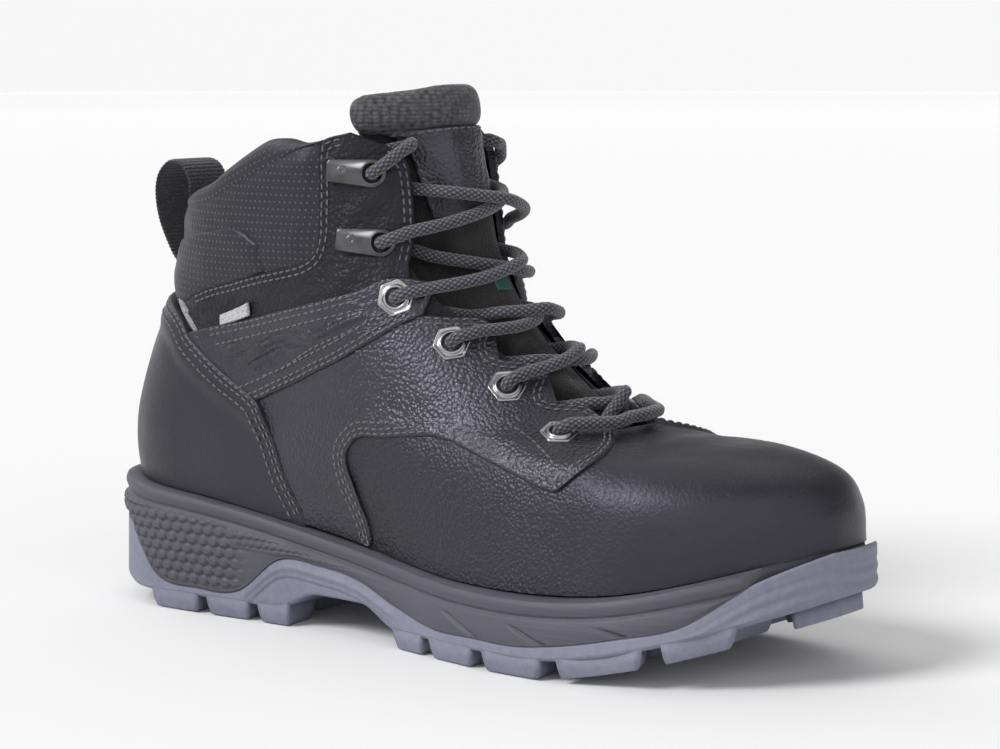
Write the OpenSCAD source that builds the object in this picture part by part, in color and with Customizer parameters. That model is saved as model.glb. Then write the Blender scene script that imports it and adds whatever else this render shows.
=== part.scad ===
// Six-inch steel toe work boot for the right foot, laced shut and standing on a level floor.
// +X points to the toe, +Y to the inner (medial) side and +Z up.
// The origin is on the ground, under the middle of the boot's overall box.

/* [Boot size] */
// Length of the sole from heel to toe
boot_length = 309; // [295:1:325]
// Width of the sole across the ball of the foot
boot_width = 112; // [106:1:118]

/* [Upper] */
// Thickness of the outer leather
leather_t = 2; // [1.6:0.1:2]
// Thickness of the fabric lining
lining_t = 1.2; // [0.8:0.1:1.4]
// Depth of the foam behind the collar
pad_t = 6.5; // [4:0.5:7]
// Wall of the steel toe cap
toe_cap_t = 1.6; // [1.4:0.1:1.6]

/* [Sole] */
// Depth of the tread lugs
lug_depth = 6; // [4:0.5:6.5]
// Thickness of the removable footbed
footbed_t = 4.5; // [3:0.5:6]

/* [Lacing] */
// Diameter of the round lace
lace_d = 4.5; // [4:0.1:4.6]
// Hole through each eyelet
eyelet_hole_d = 6.4; // [6.2:0.1:6.6]
// Width of a hexagonal eyelet across its flats
eyelet_across = 12; // [11:0.5:13]

/* [Hidden] */
nominal_length = 309;
nominal_width = 112;
kx = boot_length / nominal_length;
ky = boot_width / nominal_width;

// Gap that keeps neighbouring layers apart.
gap = 0.25;

// The outer surface of the upper is a stack of tilted rings. Ring v runs from a point on
// the heel line to a point on the ridge line: v = 0 is the feather line above the sole and
// v = 1 is the top of the tongue. Points are [x, z].
heel_line = [[-148, 48], [-149, 58], [-148, 70], [-145, 82], [-141, 94], [-136, 106],
             [-129, 118], [-124.5, 130], [-122, 142], [-121, 152], [-120, 178]];
ridge_line = [[150, 45], [148.5, 58], [141, 68], [121, 74.5], [96, 76], [71, 80],
              [47, 95], [27, 113], [13, 134], [5, 160], [-4, 196]];
// Dip of the rings between heel and toe, deepest at the feather line.
ring_sag = [0, -4.5, -12.5, -18.5, -15.5, 0];
// Half widths of the rings from heel to ridge, one row for every fifth of v.
lateral_half = [[34, 36, 36, 48, 50, 42], [36, 38, 41, 47, 47, 40], [34, 37, 41, 44, 41, 34],
                [31, 34, 39, 42, 38, 30], [32, 37, 42, 43, 38, 30], [36, 41, 45, 46, 42, 34]];
medial_half = [[34, 35, 31, 42, 50, 48], [36, 38, 38, 44, 48, 44], [34, 37, 41, 42, 38, 30],
               [31, 34, 39, 39, 33, 24], [32, 37, 41, 40, 33, 25], [36, 41, 45, 45, 40, 33]];
// Length over which the ends of a ring round off, at the ridge and at the heel.
ridge_round = [72, 62, 58, 52, 44, 42];
heel_round = [40, 40, 38, 36, 36, 38];
end_power = 2.15;

// The sole's outline in plan: half widths from heel to toe.
sole_heel_x = -155;
sole_toe_x = 154;
sole_lateral = [38, 41, 41, 40, 41, 46, 53, 57, 56, 52, 46];
sole_medial = [38, 40, 38, 34, 34, 40, 49, 54, 54, 52, 48];
sole_toe_round = 72;
sole_heel_round = 42;

// The toe bends towards the big toe: the centre line's sideways shift.
bend_start = 30;
bend_span = 125;
bend_shift = 9;

function clamp(t) = min(max(t, 0), 1);
function mix(a, b, t) = a + (b - a) * t;
function smooth(t) = let (c = clamp(t)) c * c * (3 - 2 * c);

// Value of the evenly spaced list at t from 0 to 1, on a smooth curve through its entries.
function curve(list, t) =
    let (n = len(list) - 1, c = clamp(t) * n, i = min(floor(c), n - 1), f = c - i)
    let (p1 = list[i], p2 = list[i + 1])
    let (p0 = i > 0 ? list[i - 1] : 2 * p1 - p2, p3 = i < n - 1 ? list[i + 2] : 2 * p2 - p1)
    p1 + f / 2 * (p2 - p0 + f * (2 * p0 - 5 * p1 + 4 * p2 - p3 + f * (3 * (p1 - p2) + p3 - p0)));

function table(rows, t, v) = curve([for (row = rows) curve(row, t)], v);
function round_off(distance, length) = sqrt(1 - pow(clamp(1 - distance / length), end_power));
function bend(x) = bend_shift * pow(max(x - bend_start, 0) / bend_span, 2);

// Point of ring v at the angle a: 0 is the ridge, 90 the outer side, 180 the heel.
function ring_point(a, v) =
    let (t = (1 + cos(a)) / 2, side = sin(a) > 0 ? -1 : 1)
    let (h = curve(heel_line, v), r = curve(ridge_line, v), p = mix(h, r, t), span = norm(r - h))
    let (w = table(side < 0 ? lateral_half : medial_half, t, v))
    let (ends = round_off(t * span, curve(heel_round, v)))
    let (nose = round_off((1 - t) * span, curve(ridge_round, v)))
    [kx * p[0], ky * (bend(p[0]) + side * w * ends * nose),
     p[1] + curve(ring_sag, t) * pow(1 - clamp(v), 2)];

// The same point moved outwards by d, square to the surface.
function skin(a, v, d = 0) =
    let (da = ring_point(a + 1, v) - ring_point(a - 1, v))
    let (dv = ring_point(a, min(v + 0.01, 1)) - ring_point(a, max(v - 0.01, 0)), n = cross(dv, da))
    ring_point(a, v) + d * n / norm(n);

// Ring angle and v of the surface point seen at [x, z] from the side.
function ring_z(x, v) =
    let (h = curve(heel_line, v), r = curve(ridge_line, v), t = clamp((x - h[0]) / (r[0] - h[0])))
    mix(h[1], r[1], t) + curve(ring_sag, t) * pow(1 - v, 2);
function find_v(x, z, low = 0, high = 1, steps = 12) =
    let (middle = (low + high) / 2)
    steps == 0 ? middle
    : ring_z(x, middle) < z ? find_v(x, z, middle, high, steps - 1)
    : find_v(x, z, low, middle, steps - 1);
function at(x, z) =
    let (v = find_v(x, z), h = curve(heel_line, v), r = curve(ridge_line, v))
    [acos(2 * clamp((x - h[0]) / (r[0] - h[0])) - 1), v];
function foot(x) =
    let (h = heel_line[0][0], r = ridge_line[0][0])
    [acos(2 * clamp((x - h) / (r - h)) - 1), 0];
function mirrored(list) = [for (p = list) [-p[0], p[1]]];
function reversed(list) = [for (i = [len(list) - 1:-1:0]) list[i]];

// Height of the feather line over the sole at x.
function feather_z(x) = ring_z(x, 0);

// Faces of a grid of points, clockwise from outside unless flipped.
function grid_faces(rows, columns, base, flip) = [
    for (i = [0:rows - 2], j = [0:columns - 2])
        let (a = base + i * columns + j, b = a + 1, c = a + columns, d = c + 1)
        each flip ? [[a, b, d], [a, d, c]] : [[a, d, b], [a, c, d]]
];
function rim(rows, columns) = concat(
    [for (j = [0:columns - 1]) j],
    [for (i = [1:rows - 1]) i * columns + columns - 1],
    [for (j = [columns - 2:-1:0]) (rows - 1) * columns + j],
    [for (i = [rows - 2:-1:1]) i * columns]
);

// Closed solid between an outer and an inner grid with the same rows and columns.
module slab(outer, inner, flip) {
    rows = len(outer);
    columns = len(outer[0]);
    count = rows * columns;
    edge = rim(rows, columns);
    last = len(edge);
    polyhedron(
        points = concat([for (row = outer) each row], [for (row = inner) each row]),
        faces = concat(
            grid_faces(rows, columns, 0, flip),
            grid_faces(rows, columns, count, !flip),
            [for (k = [0:last - 1])
                let (a = edge[k], b = edge[(k + 1) % last])
                each flip ? [[a, b + count, b], [a, a + count, b + count]]
                          : [[a, b, b + count], [a, b + count, a + count]]]
        )
    );
}

// A piece of the upper between two curves of [angle, v] points, from outer_d to inner_d
// beside the outer surface. Both are functions of the ring angle and v.
// Along the feather line the inner face is kept level with the outer one.
function raised(a, v, d) =
    let (p = skin(a, v, d))
    v > 0 ? p : [p[0], p[1], max(p[2], ring_point(a, 0)[2])];
module panel(low, high, columns, rows, outer_d, inner_d, flip) {
    spots = [for (i = [0:rows - 1]) [for (j = [0:columns - 1])
        let (s = j / (columns - 1)) mix(curve(low, s), curve(high, s), i / (rows - 1))]];
    slab([for (row = spots) [for (p = row) raised(p[0], clamp(p[1]), outer_d(p[0], p[1]))]],
         [for (row = spots) [for (p = row) raised(p[0], clamp(p[1]), inner_d(p[0], p[1]))]], flip);
}

// The same panel on the outer side (hand = 1) or the inner side (hand = -1).
module side_panel(hand, low, high, columns, rows, outer_d, inner_d) {
    panel(hand > 0 ? low : mirrored(low), hand > 0 ? high : mirrored(high),
          columns, rows, outer_d, inner_d, hand < 0);
}
function depth(d) = function (a, v) -d;

// Layers, as depths below the outer surface.
stiff_top = leather_t + gap;
stiff_bottom = leather_t + 1.85;
backing_top = stiff_top + gap;
cap_top = leather_t + 2;
cap_bottom = cap_top + toe_cap_t;
lining_top = stiff_bottom + gap;
lining_bottom = lining_top + lining_t;
vamp_lining_top = cap_bottom + gap;
vamp_lining_bottom = vamp_lining_top + lining_t;

// The collar's foam bulges inwards behind pad_front_x and above pad_low_z.
pad_front_x = -36;
pad_low_z = 118;
pad_blend = 14;
function pad_share(a, v) =
    let (p = ring_point(a, clamp(v)))
    smooth((pad_front_x - p[0] / kx) / pad_blend) * smooth((p[2] - pad_low_z) / pad_blend);
lining_out = function (a, v) -(lining_top + pad_t * pad_share(a, v));
lining_in = function (a, v) -(lining_bottom + pad_t * pad_share(a, v));
pad_in = function (a, v) -(stiff_bottom - 2 * gap + pad_t * pad_share(a, v));

black_leather = [0.10, 0.10, 0.11];
grained_leather = [0.13, 0.13, 0.14];
collar_grey = [0.20, 0.20, 0.22];
lining_grey = [0.16, 0.16, 0.17];
foam_grey = [0.24, 0.24, 0.26];
midsole_grey = [0.33, 0.32, 0.36];
outsole_grey = [0.50, 0.51, 0.59];
steel = [0.62, 0.63, 0.65];
nickel = [0.80, 0.80, 0.80];
gunmetal = [0.42, 0.42, 0.42];
lace_grey = [0.26, 0.26, 0.29];
tag_white = [0.86, 0.86, 0.85];
label_green = [0.10, 0.33, 0.30];
fibre_board = [0.55, 0.47, 0.36];

// Seams of the outer side, as points seen from the side. The inner side mirrors them.
heel_seam = 179.3;
quarter_low = [foot(-46.5), foot(-31), foot(-16), at(-24, 60), at(9, 76.5), at(45, 67), at(69, 64)];
quarter_high = [at(-62.3, 80), at(-45, 87), at(-27, 96.2), at(-8, 108), at(5, 125), at(25, 105),
                at(62, 83)];
shaft_low = [[heel_seam, 0.58], at(-106, 107), at(-86, 93.2), at(-63, 82.5), at(-27, 98.5),
             at(-3, 115), at(-7, 134), at(-5, 150), at(-8, 168)];
shaft_high = [[heel_seam, 0.6], at(-104, 117.5), at(-84, 123), at(-62, 128), at(-43, 132.5),
              at(-36, 142), at(-35.5, 153), at(-35, 163), at(-32, 176)];
collar_low = [[heel_seam, 0.61], at(-104, 118.5), at(-84, 124), at(-63, 129), at(-44, 134),
              at(-37, 143), at(-36.5, 154), at(-36, 164), at(-36, 174)];
topline = [[heel_seam, 0.9], at(-110, 152.5), at(-95, 154), at(-82, 158), at(-72, 163),
           at(-62, 167.5), at(-53, 171), at(-45, 173.8), at(-37, 176)];
counter_low = [foot(-48), foot(-62), foot(-82), foot(-108), foot(-135), [180, 0]];
counter_high = [at(-48.5, 42), at(-56.5, 60), at(-64, 79.5), at(-88, 91.5), at(-112, 107), [180, 0.565]];
vamp_low = [foot(-15), foot(2), foot(35), foot(75), foot(110), foot(137), [0, 0]];

// Point beside a curve of [angle, v] points, d mm away from it along the surface.
function unit(v) = v / norm(v);
function beside(list, s, d) =
    let (p = curve(list, s), q = curve(list, min(s + 0.01, 1)), o = curve(list, max(s - 0.01, 0)))
    let (pa = (ring_point(p[0] + 1, p[1]) - ring_point(p[0] - 1, p[1])) / 2)
    let (pv = (ring_point(p[0], p[1] + 0.01) - ring_point(p[0], max(p[1] - 0.01, 0)))
        / (p[1] > 0.01 ? 0.02 : 0.01))
    let (along = ring_point(q[0], q[1]) - ring_point(o[0], o[1]))
    let (side = d * unit(cross(cross(pa, pv), along)))
    let (aa = pa * pa, av = pa * pv, vv = pv * pv, sa = side * pa, sv = side * pv)
    p + [sa * vv - sv * av, sv * aa - sa * av] / (aa * vv - av * av);
seam_gap = 1.3;
vamp_seam = [for (k = [0.1, 1, 2, 3, 4, 5, 6, 7, 8]) beside(quarter_low, (2 + k / 2) / 6, seam_gap)];
vamp_high = concat(vamp_seam, [at(63.4, 81.2), [17, 0.49], [11, 0.493], [5, 0.495], [0, 0.495]]);

// A curve of one side carried over the ridge, or round the heel, to the other side.
function other_half(list) = reversed([for (i = [0:len(list) - 2]) list[i]]);
function over_ridge(list) = concat(list, mirrored(other_half(list)));
function round_heel(list) = concat(list, [for (p = other_half(list)) [360 - p[0], p[1]]]);

// Places of the lace's holes on the outer side: four eyelets and, above them, two loops.
// The inner side's row sits a little further back.
eyelet_spots = [at(57, 78), at(34, 92), at(13, 106), at(-7, 121)];
loop_spots = [at(-14, 140), at(-18, 164)];
inner_eyelet_spots = [at(53, 81), at(30, 95), at(10, 109), at(-9, 123.5)];
inner_loop_spots = [at(-15, 142), at(-18, 165)];
function eyelets_of(hand) = hand > 0 ? eyelet_spots : inner_eyelet_spots;
function loops_of(hand) = hand > 0 ? loop_spots : inner_loop_spots;
eyelet_barrel_r = eyelet_hole_d / 2 + 0.6;

// Moves the children to a spot of the surface, with +Z outwards and +X towards the toe.
module on_skin(spot, hand) {
    a = hand * spot[0];
    v = spot[1];
    origin = skin(a, v);
    out = skin(a, v, 1) - origin;
    along = [1, 0, 0] - out * out[0];
    x = along / norm(along);
    y = cross(out, x);
    multmatrix([[x[0], y[0], out[0], origin[0]], [x[1], y[1], out[1], origin[1]],
                [x[2], y[2], out[2], origin[2]], [0, 0, 0, 1]])
    children();
}
module lace_holes(hand, spots) {
    for (spot = spots)
        on_skin(spot, hand)
        cylinder(h = 16, r = eyelet_barrel_r + 0.1, center = true, $fn = 32);
}

// Outer leather
module vamp() {
    color(black_leather)
    panel(over_ridge(vamp_low), over_ridge(vamp_high), 57, 9, depth(0), depth(leather_t), false);
}
module quarter(hand) {
    color(grained_leather)
    difference() {
        side_panel(hand, quarter_low, quarter_high, 22, 8, depth(0), depth(leather_t));
        lace_holes(hand, eyelets_of(hand));
    }
}
module shaft(hand) {
    color(grained_leather)
    difference() {
        side_panel(hand, shaft_low, shaft_high, 30, 6, depth(0), depth(leather_t));
        lace_holes(hand, concat(eyelets_of(hand), loops_of(hand)));
    }
}
module collar_panel(hand) {
    color(collar_grey)
    side_panel(hand, collar_low, topline, 20, 6, depth(0), depth(leather_t));
}
module heel_counter() {
    color(black_leather)
    panel(round_heel(counter_low), round_heel(counter_high), 31, 8, depth(0), depth(leather_t), false);
}

// Stiffeners, padding and lining
cap_low = [foot(99), foot(113), foot(127), foot(140), [0, 0]];
cap_high = [at(98, 37), at(97, 52), at(97, 66), at(97, 73.5), [0, 0.385]];
module toe_cap() {
    color(steel)
    panel(over_ridge(cap_low), over_ridge(cap_high), 37, 9, depth(cap_top), depth(cap_bottom), false);
}
module toe_cap_edge_pad() {
    rear = [foot(89), at(89, 52), at(89, 66), at(89, 74), [0, 0.425]];
    front = [foot(97.5), at(96.2, 52), at(96.2, 66), at(96.2, 73.5), [0, 0.392]];
    color(foam_grey)
    panel(over_ridge(front), over_ridge(rear), 29, 2, depth(cap_top), depth(cap_bottom), false);
}
stiffener_t = 0.8;
module counter_stiffener() {
    low = [foot(-56), foot(-68), foot(-86), foot(-110), foot(-135), [180, 0]];
    high = [at(-56.5, 44), at(-64, 60), at(-72, 74), at(-94, 86), at(-114, 100), [180, 0.5]];
    color(fibre_board)
    panel(round_heel(low), round_heel(high), 31, 6,
          depth(backing_top), depth(backing_top + stiffener_t), false);
}
module vamp_lining() {
    low = [foot(-12), foot(4), foot(36), foot(75), foot(110), foot(137), [0, 0]];
    high = [at(-12, 37), at(-19, 60), at(10, 74), at(43, 64.5), at(64, 62), at(66, 76), [0, 0.48]];
    color(lining_grey)
    panel(over_ridge(low), over_ridge(high), 37, 7, depth(vamp_lining_top),
          depth(vamp_lining_bottom), false);
}
module lining(hand) {
    low = [[heel_seam, 0], foot(-110), foot(-65), foot(-16), at(-23.5, 60), at(9, 76.5)];
    high = [[heel_seam, 0.9], at(-95, 153.5), at(-62, 167), at(-30, 174), at(-26, 146), at(3, 98)];
    color(lining_grey)
    side_panel(hand, low, high, 24, 12, lining_out, lining_in);
}
module collar_pad(hand) {
    low = [[heel_seam, 0.57], at(-104, 113), at(-84, 117), at(-62, 120), at(-37, 124)];
    high = [[heel_seam, 0.89], at(-98, 152.5), at(-73, 161.5), at(-53, 169.5), at(-36.5, 174.5)];
    color(foam_grey)
    side_panel(hand, low, high, 18, 8, depth(backing_top), pad_in);
}
module eyestay_backing(hand) {
    low = [at(69, 68), at(38, 81), at(14, 95), at(-9, 110), at(-22, 130), at(-26, 152), at(-28, 172)];
    high = [at(64, 80), at(40, 95), at(22, 108), at(4, 122), at(-8, 138), at(-7, 152), at(-10, 167)];
    color(lining_grey)
    difference() {
        side_panel(hand, low, high, 22, 4, depth(backing_top + 2 * gap), depth(stiff_bottom));
        lace_holes(hand, concat(eyelets_of(hand), loops_of(hand)));
    }
}

// The tongue is padded. It dips beside the edges of the lace opening, where the lace runs
// between it and the leather.
tongue_t = 5;
tongue_depth = 3.2;
tongue_dip = 7.3;
tongue_top_v = 0.962;
function opening_angle(v) = mix(19, 38, clamp((v - 0.5) / 0.4));
tongue_out = function (a, v)
    -(tongue_depth + (1 - 0.6 * smooth((v - 0.93) / 0.05)) * tongue_dip
        * smooth((abs(a) / opening_angle(v) - 0.3) / 0.65));
tongue_in = function (a, v) tongue_out(a, v) - tongue_t;
tongue_edge = [[26, 0.515], [30, 0.56], [32, 0.61], [35, 0.66], [40, 0.715], [46, 0.77], [50, 0.825],
               [48, 0.88], [48, 0.925], [52, tongue_top_v]];
patch_edge = [[28, 0.87], [28, 0.9], [28, 0.93], [28, 0.952]];
patch_t = 1.2;
top_edge = [[52, tongue_top_v + 0.004], [54, 0.98], [55, 1]];
top_bulge = 1.2;
module tongue() {
    color(lining_grey)
    panel(tongue_edge, mirrored(tongue_edge), 24, 11, tongue_out, tongue_in, true);
}
module tongue_patch() {
    color(black_leather)
    panel(patch_edge, mirrored(patch_edge), 6, 13,
          function (a, v) tongue_out(a, v) + gap + patch_t,
          function (a, v) tongue_out(a, v) + gap, true);
}
module tongue_top() {
    color(lining_grey)
    panel(top_edge, mirrored(top_edge), 4, 15,
          function (a, v) tongue_out(a, v) + top_bulge,
          function (a, v) tongue_in(a, v) - top_bulge, true);
}
module tongue_label() {
    low = [[9, 0.757], [4, 0.757], [0, 0.757], [-4, 0.757]];
    high = [[9, 0.785], [4, 0.785], [0, 0.785], [-4, 0.785]];
    color(label_green)
    panel(low, high, 4, 3, function (a, v) tongue_out(a, v) + 0.5,
          function (a, v) tongue_out(a, v) + 0.15, false);
}
// Folded web that closes the gap between the tongue's side and the lining.
gusset_t = 0.8;
module gusset(hand) {
    low = [[33, 0.53], [36, 0.6], [38, 0.66], [43, 0.72], [49, 0.77]];
    high = [[24, 0.53], [27, 0.6], [29, 0.66], [34, 0.72], [41, 0.77]];
    color(lining_grey)
    side_panel(hand, low, high, 12, 3, function (a, v) tongue_out(a, v) - tongue_t - 0.5,
               function (a, v) tongue_out(a, v) - tongue_t - 0.5 - gusset_t);
}

// Eyelets, lace loops and their fastenings
eyelet_plate_t = 0.9;
eyelet_lift = 0.6;
eyelet_rim_r = eyelet_hole_d / 2 + 1.3;
washer_t = 0.5;
washer_r = eyelet_barrel_r + 1.6;
module eyelet() {
    difference() {
        union() {
            translate([0, 0, eyelet_lift])
            rotate(30)
            cylinder(h = eyelet_plate_t, r = eyelet_across / sqrt(3), $fn = 6);
            cylinder(h = eyelet_lift + eyelet_plate_t + 0.7, r = eyelet_rim_r, $fn = 32);
            translate([0, 0, -stiff_bottom - 0.1])
            cylinder(h = stiff_bottom + 0.5, r = eyelet_barrel_r, $fn = 32);
        }
        cylinder(h = 20, r = eyelet_hole_d / 2, center = true, $fn = 32);
    }
}
module eyelets(hand) {
    color(nickel)
    for (spot = eyelets_of(hand))
        on_skin(spot, hand)
        eyelet();
}
module washer() {
    translate([0, 0, -stiff_bottom - gap - washer_t])
    difference() {
        cylinder(h = washer_t, r = washer_r, $fn = 32);
        cylinder(h = 4 * washer_t, r = eyelet_barrel_r + 0.1, center = true, $fn = 32);
    }
}
module eyelet_washers(hand) {
    color(nickel)
    for (spot = eyelets_of(hand))
        on_skin(spot, hand)
        washer();
}
// Cast loop: a long plate with the lace's hole at its front end and a rivet behind it.
loop_length = 21;
loop_width = 10;
loop_t = 2;
loop_lift = 0.5;
module lace_loop() {
    difference() {
        union() {
            translate([0, 0, loop_lift])
            linear_extrude(loop_t)
            hull() {
                circle(r = loop_width / 2, $fn = 32);
                translate([loop_width / 2 - loop_length, 0])
                square([2, loop_width * 0.8], center = true);
            }
            translate([0, 0, -stiff_bottom - 0.1])
            cylinder(h = stiff_bottom + 1, r = eyelet_barrel_r, $fn = 32);
        }
        cylinder(h = 20, r = eyelet_hole_d / 2, center = true, $fn = 32);
    }
}
module lace_loops(hand) {
    color(gunmetal)
    for (spot = loops_of(hand))
        on_skin(spot, hand)
        lace_loop();
}
module loop_washers(hand) {
    color(gunmetal)
    for (spot = loops_of(hand))
        on_skin(spot, hand)
        washer();
}

// Heel loop of webbing: both ends are sewn in at the bottom and the top stands free.
webbing_t = 1.5;
webbing_w = 22;
loop_path = [[-128.4, 123], [-127.5, 130], [-126.1, 140], [-125.2, 150], [-125.4, 157], [-129.2, 163],
             [-135.6, 164], [-141, 159], [-142.4, 151], [-140.2, 141], [-134.4, 130], [-129.5, 124.6]];
function path_normal(list, t) =
    let (d = curve(list, min(t + 0.01, 1)) - curve(list, max(t - 0.01, 0)))
    [-d[1], d[0]] / norm(d);
loop_steps = 26;
module pull_loop() {
    outer = [for (k = [0:loop_steps])
        curve(loop_path, k / loop_steps) + webbing_t / 2 * path_normal(loop_path, k / loop_steps)];
    inner = [for (k = [loop_steps:-1:0])
        curve(loop_path, k / loop_steps) - webbing_t / 2 * path_normal(loop_path, k / loop_steps)];
    color(collar_grey)
    scale([kx, ky, 1])
    rotate([90, 0, 0])
    linear_extrude(webbing_w, center = true)
    polygon(concat(outer, inner));
}

// Small trim
module side_tag() {
    low = [at(-86, 107), at(-79, 109), at(-70, 112)];
    high = [at(-86, 111), at(-79, 113.5), at(-70, 117)];
    color(tag_white)
    panel(low, high, 4, 2, depth(-gap - 0.6), depth(-gap), false);
}
module heel_piping(hand) {
    low = [[178, 0.593], at(-115, 113.5), at(-107, 107.5), at(-98, 101)];
    high = [[178, 0.603], at(-114, 115.5), at(-105, 109.5), at(-97, 102.5)];
    color(tag_white)
    side_panel(hand, low, high, 6, 2, depth(-6 * gap - 0.6), depth(-6 * gap));
}
// Sole outline in plan at the angle a (0 toe, 90 outer side, 180 heel), moved inwards.
function outline(a) =
    let (t = (1 + cos(a)) / 2, x = mix(sole_heel_x, sole_toe_x, t), side = sin(a) > 0 ? -1 : 1)
    let (w = curve(side < 0 ? sole_lateral : sole_medial, t))
    let (heel = round_off(x - sole_heel_x, sole_heel_round))
    let (toe = round_off(sole_toe_x - x, sole_toe_round))
    [x, bend(x) + side * w * heel * toe];
function inset(a, amount) =
    let (d = outline(a + 1) - outline(a - 1), n = [d[1], -d[0]] / norm(d))
    outline(a) + amount * n;
function sole_angle(x) = acos(2 * clamp((x - sole_heel_x) / (sole_toe_x - sole_heel_x)) - 1);

// Heights along the sole. The tread is flat on the floor between heel_bevel_x and
// toe_spring_x, and curves up at both ends.
toe_spring_x = 62;
toe_spring = 24;
heel_bevel_x = -128;
heel_bevel = 6;
function ground_z(x) =
    toe_spring * pow(max(x - toe_spring_x, 0) / (sole_toe_x - toe_spring_x), 1.5)
    + heel_bevel * pow(max(heel_bevel_x - x, 0) / (heel_bevel_x - sole_heel_x), 1.5);
// Underside of the outsole's web, which arches between the heel and the ball.
arch_rise = 7;
arch_middle_x = -30;
arch_half_span = 30;
function web_z(x) = ground_z(x) + lug_depth
    + arch_rise * smooth(1.6 * (1 - abs(x - arch_middle_x) / arch_half_span));
web_t = 4;
// Height to which the outsole's rubber wraps up the sides, from heel to toe.
wrap_z = [33, 31, 12, 9.5, 10.5, 24, 24, 21.5, 15, 10.5, 10.5, 10.5, 13, 17, 22, 36, 46];
wrap_t = 4;
function top_z(x) = feather_z(min(max(x, heel_line[0][0]), ridge_line[0][0])) - 0.6;
function wrap_top(x) =
    min(curve(wrap_z, (x - sole_heel_x) / (sole_toe_x - sole_heel_x)), top_z(x));
function inner_z(x) = web_z(x) + web_t;

// Solid through rings of points, each ring a list that starts at the toe and goes round
// by the outer side. The first and last rings are closed across.
function cap_faces(count, base, up) = [
    for (i = [0:count / 2 - 1])
        let (a = base + i, b = base + i + 1, c = base + count - i - 1, d = base + (count - i) % count)
        each [if (i < count / 2 - 1) (up ? [a, b, c] : [a, c, b]),
              if (i == count / 2 - 1) (up ? [a, b, d] : [a, d, b]),
              if (i > 0 && i < count / 2 - 1) (up ? [a, c, d] : [a, d, c])]
];
module rings(list) {
    count = len(list[0]);
    last = len(list) - 1;
    polyhedron(
        points = [for (ring = list) each ring],
        faces = concat(
            cap_faces(count, 0, false),
            [for (r = [0:last - 1], i = [0:count - 1])
                let (a = r * count + i, b = r * count + (i + 1) % count, c = a + count, d = b + count)
                each [[a, b, d], [a, d, c]]],
            cap_faces(count, last * count, true)
        )
    );
}
sole_sides = 72;
function sole_ring(amount, height) = [
    for (k = [0:sole_sides - 1])
        let (a = 360 * k / sole_sides, p = inset(a, amount(outline(a)[0])))
        [kx * p[0], ky * p[1], height(p[0])]
];
function fixed(value) = function (x) value;

// Lugs: a tapered block between two places along the sole, standing on the floor.
lug_taper = 1.6;
function lug_row(spots, height) = [for (p = spots) [kx * p[0], ky * p[1], height(p[0])]];
module lug(bottom, top) {
    low = lug_row(bottom, function (x) ground_z(x));
    high = lug_row(top, function (x) web_z(x) + 1);
    polyhedron(
        points = concat(low, high),
        faces = [[0, 1, 2], [0, 2, 3], [4, 6, 5], [4, 7, 6], [0, 5, 1], [0, 4, 5], [1, 6, 2], [1, 5, 6],
                 [2, 7, 3], [2, 6, 7], [3, 4, 0], [3, 7, 4]]
    );
}
module edge_lug(x1, x2, hand, reach) {
    function corner(x, amount) = inset(hand * sole_angle(x), amount);
    function block(grow) = [
        corner(x1 - grow, 1.8 - grow), corner(x2 + grow, 1.8 - grow),
        corner(x2 + grow - 2, reach + grow), corner(x1 - grow + 2, reach + grow)];
    if (hand > 0) lug(block(0), block(lug_taper));
    else lug(reversed(block(0)), reversed(block(lug_taper)));
}
module middle_lug(x, length, width) {
    function block(l, w) = [
        [x - l, bend(x) - w], [x + l, bend(x) - w], [x + l, bend(x) + w], [x - l, bend(x) + w]];
    lug(block(length / 2, width / 2), block(length / 2 + lug_taper, width / 2 + lug_taper));
}
edge_lugs = [[-118, -98], [-91, -74], [-67, -55], [0, 12], [19, 37], [45, 67], [76, 103], [111, 129]];
edge_reach = [20, 20, 17, 17, 20, 22, 20, 16];
middle_lugs = [[-92, 16, 22], [-70, 12, 24], [10, 9, 24], [28, 12, 36], [53, 14, 40], [80, 14, 36],
               [106, 14, 26]];
heel_end = [[-147, -7], [-125, -9], [-125, 9], [-147, 7]];
toe_end = [[137, -8], [149, 2], [149, 17], [137, 26]];
module outsole() {
    color(outsole_grey)
    union() {
        rings([
            sole_ring(fixed(6), function (x) web_z(x)),
            sole_ring(fixed(2), function (x) web_z(x)),
            sole_ring(fixed(0), function (x) web_z(x) + 1.5),
            sole_ring(fixed(0.4), function (x) wrap_top(x)),
            sole_ring(fixed(wrap_t), function (x) wrap_top(x)),
            sole_ring(fixed(wrap_t + 0.1), function (x) inner_z(x))
        ]);
        for (hand = [1, -1], k = [0:len(edge_lugs) - 1])
            edge_lug(edge_lugs[k][0], edge_lugs[k][1], hand, edge_reach[k]);
        for (m = middle_lugs)
            middle_lug(m[0], m[1], m[2]);
        for (end = [heel_end, toe_end])
            lug(end, [for (p = end) [p[0] + sign(p[0]) * -1, p[1] * 1.05]]);
    }
}

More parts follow.
